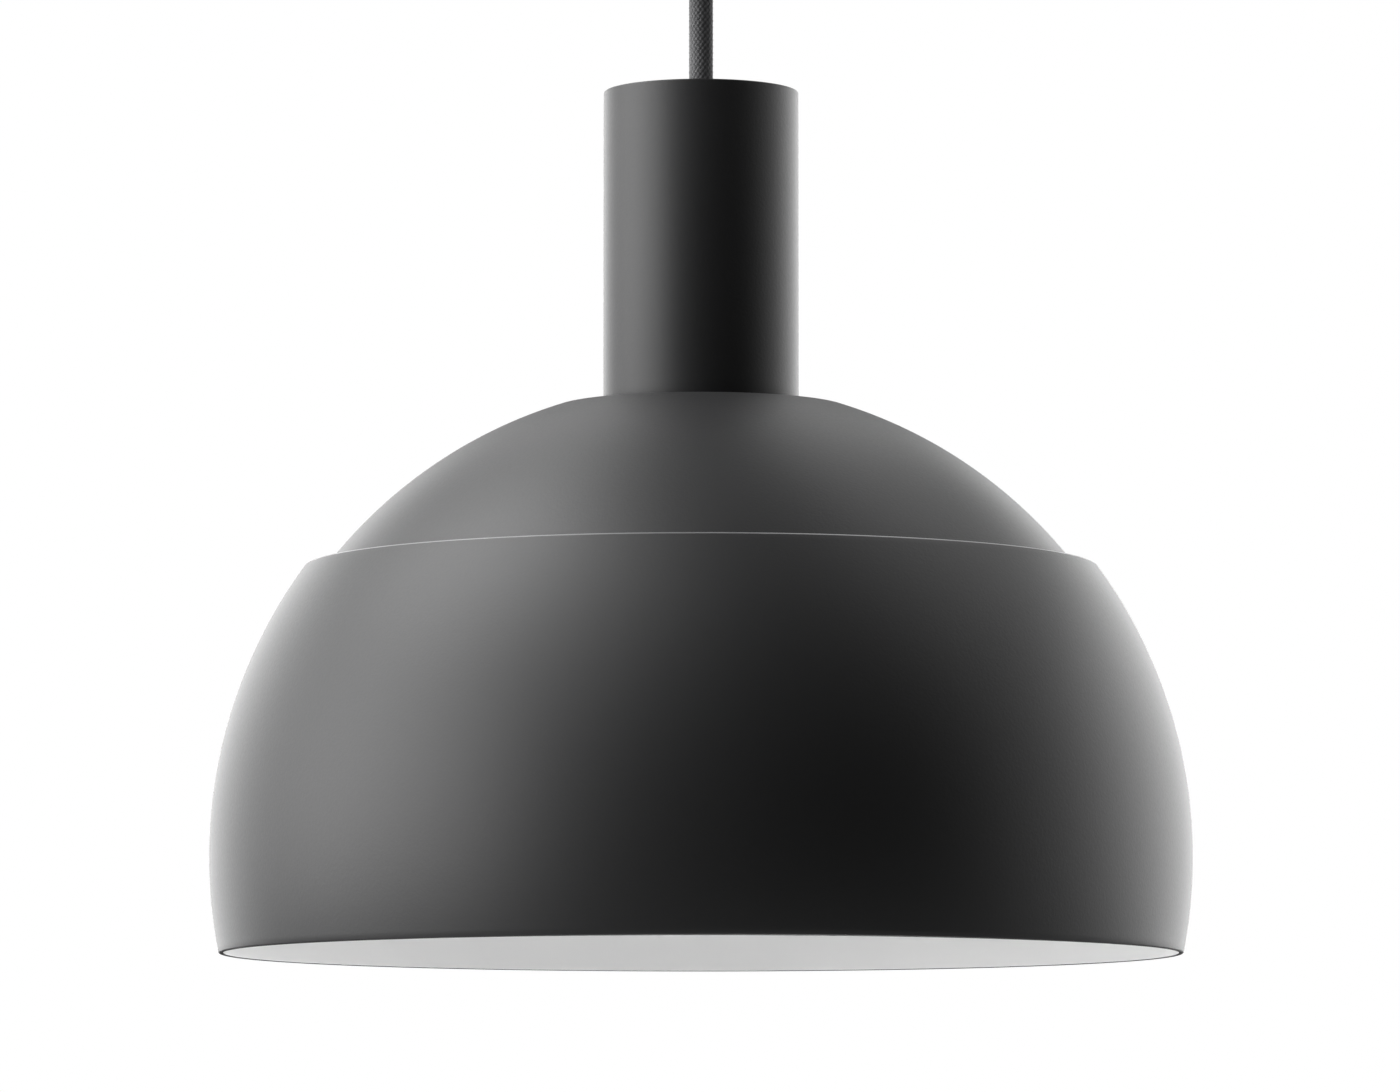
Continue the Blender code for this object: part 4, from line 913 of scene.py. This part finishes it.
# %% Opal polycarbonate
opal = bpy.data.materials.new("blown_opal_polycarbonate")
opal.use_nodes = True
tree = opal.node_tree
shader = tree.nodes["Principled BSDF"]
shader.inputs["IOR"].default_value = 1.58
shader.inputs["Subsurface Weight"].default_value = 0.6
shader.inputs["Subsurface Scale"].default_value = 6 * MM
shader.inputs["Subsurface Radius"].default_value = (1, 1, 1)  # milky, and so the same for each colour
place = add(tree, "ShaderNodeTexCoord").outputs["Object"]
haze = add(tree, "ShaderNodeTexNoise", {"Vector": place, "Scale": per_mm(15), "Detail": 2.0})
milk = add(
    tree,
    "ShaderNodeMix",
    {"Factor": haze.outputs["Fac"], "A": linear("#f7f6f2"), "B": linear("#f1f0eb")},
    data_type="RGBA",
)
satin = add(tree, "ShaderNodeMapRange", {"Value": haze.outputs["Fac"], "To Min": 0.26, "To Max": 0.36})
tree.links.new(milk.outputs["Result"], shader.inputs["Base Color"])
tree.links.new(satin.outputs["Result"], shader.inputs["Roughness"])

# %% [markdown]
# The globe is one ball with its top cut off, and the housing widens from the cap to meet it. Both
# are thin shells, turned as closed outlines.

# %% Globe and housing
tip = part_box("bulb_contact")[1].z
globe_low, globe_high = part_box("bulb_globe")
housing_low, housing_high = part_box("bulb_housing")
cap_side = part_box("bulb_cap")[1].x
BULB_RADIUS, BULB_WALL = 30 * MM, 1.2 * MM
globe_z = globe_low.z + BULB_RADIUS
lip = globe_high.z - globe_z
inside = BULB_RADIUS - BULB_WALL
GLOBE_STEPS = 40
outline = arc(0, globe_z, inside, -math.pi / 2, math.asin(lip / inside), GLOBE_STEPS)
outline += arc(0, globe_z, BULB_RADIUS, math.asin(lip / BULB_RADIUS), -math.pi / 2, GLOBE_STEPS)
outline[0], outline[-1] = (0, globe_z - inside), (0, globe_low.z)
bm = soften(turned(outline, MEDIUM), width=0.25 * MM, sharper=50)
finished("opal_globe", bm, [opal], "bulb", ["bulb_globe"])

HOUSING_STEPS, HOUSING_SWELL = 24, 1.25  # the power of the height that its radius grows with
housing_top_radius = cap_side + GAP
swell = math.sqrt(BULB_RADIUS**2 - lip**2) - housing_top_radius
outer = [
    (
        housing_top_radius + swell * (i / HOUSING_STEPS) ** HOUSING_SWELL,
        housing_high.z + (housing_low.z - housing_high.z) * i / HOUSING_STEPS,
    )
    for i in range(HOUSING_STEPS + 1)
]
inner = [(r - BULB_WALL, z) for r, z in reversed(outer)]
bm = soften(turned(outer + inner, MEDIUM), width=0.25 * MM, sharper=50)
finished("bulb_housing_shell", bm, [WHITE_PBT], "bulb", ["bulb_housing"])

# %% [markdown]
# ## Metals
# A metal takes its colour from its reflections, so its nodes only vary its roughness and lay down
# the marks of how it was made: fine rings on turned brass, the mottle of zinc plate, and a nearly
# clean nickel. Metals keep the shader's usual IOR.


# %% Metals
def metal(name, colour, tarnish, roughness, mark_mm, stretch, relief):
    """A bare or plated metal. stretch squeezes its marks along X, Y and Z.

    mark_mm is the marks' width and relief their height, both in millimetres.
    """
    made = bpy.data.materials.new(name)
    made.use_nodes = True
    tree = made.node_tree
    shader = tree.nodes["Principled BSDF"]
    shader.inputs["Metallic"].default_value = 1.0
    place = add(tree, "ShaderNodeTexCoord").outputs["Object"]
    squeezed = add(tree, "ShaderNodeMapping", {"Vector": place, "Scale": stretch})
    marks = add(
        tree,
        "ShaderNodeTexNoise",
        {"Vector": squeezed.outputs["Vector"], "Scale": per_mm(mark_mm), "Detail": 3.0},
    )
    film = add(tree, "ShaderNodeTexNoise", {"Vector": place, "Scale": per_mm(8), "Detail": 3.0})
    tint = add(
        tree,
        "ShaderNodeMix",
        {"Factor": film.outputs["Fac"], "A": linear(colour), "B": linear(tarnish)},
        data_type="RGBA",
    )
    dull = add(
        tree,
        "ShaderNodeMapRange",
        {"Value": marks.outputs["Fac"], "To Min": roughness - 0.08, "To Max": roughness + 0.12},
    )
    bump = add(tree, "ShaderNodeBump", {"Height": marks.outputs["Fac"], "Distance": relief * MM})
    tree.links.new(tint.outputs["Result"], shader.inputs["Base Color"])
    tree.links.new(dull.outputs["Result"], shader.inputs["Roughness"])
    tree.links.new(bump.outputs["Normal"], shader.inputs["Normal"])
    return made


EVEN, RINGS = (1, 1, 1), (0.2, 0.2, 4)  # no squeeze, and marks drawn out flat across Z
ZINC = metal(
    "bright_zinc_plated_steel",
    "#c9ccd1",
    "#b4bac4",
    roughness=0.3,
    mark_mm=1.2,
    stretch=EVEN,
    relief=0.01,
)
BRASS = metal(
    "turned_brass", "#dcb768", "#c49a4c", roughness=0.28, mark_mm=1.0, stretch=RINGS, relief=0.01
)
NICKEL = metal(
    "bright_nickel_plate", "#cfcbc2", "#c2bdb2", roughness=0.18, mark_mm=1.5, stretch=EVEN, relief=0.004
)

# %% [markdown]
# The bulb's cap is rolled from thin sheet, so its thread is round-crested, and so is the brass
# screw shell's that takes it. Both outlines follow one cosine wave.


# %% Screw cap and screw shell
CAP_PITCH, CAP_DEPTH = 3.63 * MM, 0.7 * MM


def rolled_thread(root_radius, top, turns):
    """A rolled thread's outline from the top down, with its root at that radius."""
    wave = [(1 - math.cos(math.tau * i / RIDGE_STEPS)) / 2 for i in range(turns * RIDGE_STEPS + 1)]
    return [(root_radius + CAP_DEPTH * w, top - CAP_PITCH * i / RIDGE_STEPS) for i, w in enumerate(wave)]


cap_low, cap_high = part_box("bulb_cap")
CAP_END_RADIUS, CAP_LIP, CAP_SHEET = 8 * MM, 3 * MM, 0.7 * MM
CAP_SHOULDER, CAP_SHOULDER_INSIDE = 2.2 * MM, 2.5 * MM  # from its end down to its side
LIP_SETBACK = 0.2 * MM
thread_top = cap_high.z - CAP_SHOULDER
turns = int((thread_top - cap_low.z - CAP_LIP - MM) / CAP_PITCH)
root = cap_side - CAP_DEPTH
outline = [(CAP_END_RADIUS, cap_high.z)] + rolled_thread(root, thread_top, turns)
lip_radius = cap_side - LIP_SETBACK
outline += [(lip_radius, cap_low.z + CAP_LIP), (lip_radius, cap_low.z), (root - CAP_SHEET, cap_low.z)]
outline += [(root - CAP_SHEET, cap_high.z - CAP_SHOULDER_INSIDE), (CAP_END_RADIUS, cap_high.z - MM)]
bm = soften(turned(outline, MEDIUM), width=0.2 * MM, sharper=50)
finished("bulb_screw_cap", bm, [NICKEL], "bulb", ["bulb_cap"])

shell_low, shell_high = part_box("screw_shell")
SHELL_WALL = 0.6 * MM
shell_bore = cap_side + GAP
turns = int((shell_high.z - shell_low.z - 2 * MM) / CAP_PITCH)
side = [(shell_bore, shell_high.z)] + rolled_thread(shell_bore, shell_high.z - MM, turns)
side.append((shell_bore, shell_low.z))
outline = side + [(r + SHELL_WALL, z) for r, z in reversed(side)]
finished("rolled_screw_shell", turned(outline, MEDIUM), [BRASS], "pendant", ["screw_shell"])

# %% [markdown]
# ## The parts inside
# The rest of the lamp is hidden in use: the wires, their terminals, nuts, washers, grips, the
# bracket and the bulb's works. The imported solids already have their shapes, so they keep them and
# only take finishes. A PVC core is extruded, glossy and slightly soft. The earth core is green and
# yellow along its whole length, so its colour changes in bands across X. Each band comes out 3.5 mm
# wide, wider than the wire, so one stretch of wire may show only one of the two colours.

# %% Wire insulation
PVC = {"roughness": 0.35, "ior": 1.53}
BROWN_PVC = moulded("extruded_brown_pvc", "#5a3520", "#4f2e1b", **PVC)
BLUE_PVC = moulded("extruded_blue_pvc", "#1d5fa8", "#1a5596", **PVC)
EARTH_PVC = moulded("extruded_green_yellow_pvc", "#e3c21c", "#dbb916", **PVC)
BAND_OVER_PI = 1.1 * MM  # at the scale below, a Wave texture's band is pi times this wide
tree = EARTH_PVC.node_tree
shader = tree.nodes["Principled BSDF"]
yellow = shader.inputs["Base Color"].links[0].from_socket
place = add(tree, "ShaderNodeTexCoord").outputs["Object"]
scale = 1 / (20 * BAND_OVER_PI)
bands = add(tree, "ShaderNodeTexWave", {"Vector": place, "Scale": scale}, bands_direction="X")
edge = add(tree, "ShaderNodeMapRange", {"Value": bands.outputs["Fac"], "From Min": 0.45, "From Max": 0.55})
striped = add(
    tree,
    "ShaderNodeMix",
    {"Factor": edge.outputs["Result"], "A": yellow, "B": linear("#2f8a3a")},
    data_type="RGBA",
)
tree.links.new(striped.outputs["Result"], shader.inputs["Base Color"])

# %% [markdown]
# The bulb's light board is aluminium under a white solder resist. The driver's board is glass cloth
# in green epoxy, whose weave shows faintly through the resist.

# %% Boards
RESIST = {"ior": 1.5, "peel_mm": 1.2, "relief": 0.01}
WHITE_RESIST = moulded("white_solder_resist", "#ebebe4", "#e2e2da", roughness=0.4, **RESIST)
GREEN_RESIST = moulded("green_solder_resist", "#1f6b3c", "#195a32", roughness=0.35, **RESIST)
WEAVE = 0.8 * MM
for board in (WHITE_RESIST, GREEN_RESIST):
    tree = board.node_tree
    shader = tree.nodes["Principled BSDF"]
    ground = shader.inputs["Base Color"].links[0].from_socket
    place = add(tree, "ShaderNodeTexCoord").outputs["Object"]
    cells = add(tree, "ShaderNodeTexChecker", {"Vector": place, "Scale": 1 / WEAVE})
    faint = add(
        tree, "ShaderNodeMapRange", {"Value": cells.outputs["Fac"], "To Min": 0.0, "To Max": 0.06}
    )
    woven = add(
        tree,
        "ShaderNodeMix",
        {"Factor": faint.outputs["Result"], "A": ground, "B": linear("#c8b06a")},
        data_type="RGBA",
    )
    tree.links.new(woven.outputs["Result"], shader.inputs["Base Color"])

# %% [markdown]
# The record names the material of every solid, so one table turns each name into a finish. Setting a
# slot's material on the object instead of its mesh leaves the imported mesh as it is.

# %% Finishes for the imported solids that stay
FINISHES = {
    "zinc_plated_steel": ZINC,
    "brass": BRASS,
    "nickel_plate": NICKEL,
    "black_nylon": BLACK_NYLON,
    "natural_nylon": NATURAL_NYLON,
    "white_ceramic": STEATITE,
    "black_glass_insulator": VITRITE,
    "brown_insulation": BROWN_PVC,
    "blue_insulation": BLUE_PVC,
    "green_yellow_insulation": EARTH_PVC,
    "aluminium_board": WHITE_RESIST,
    "circuit_board": GREEN_RESIST,
}
kept = []
for row in frame["record"]["subparts"]:
    solid = frame["nodes"][row["node"]]
    look = FINISHES.get(row["material_slot"])
    if solid.hide_render or look is None:
        continue
    for slot in solid.material_slots:
        slot.link, slot.material = "OBJECT", look
    kept.append(row["node"])
print(len(kept), "packed solids keep their shape:", ", ".join(kept))
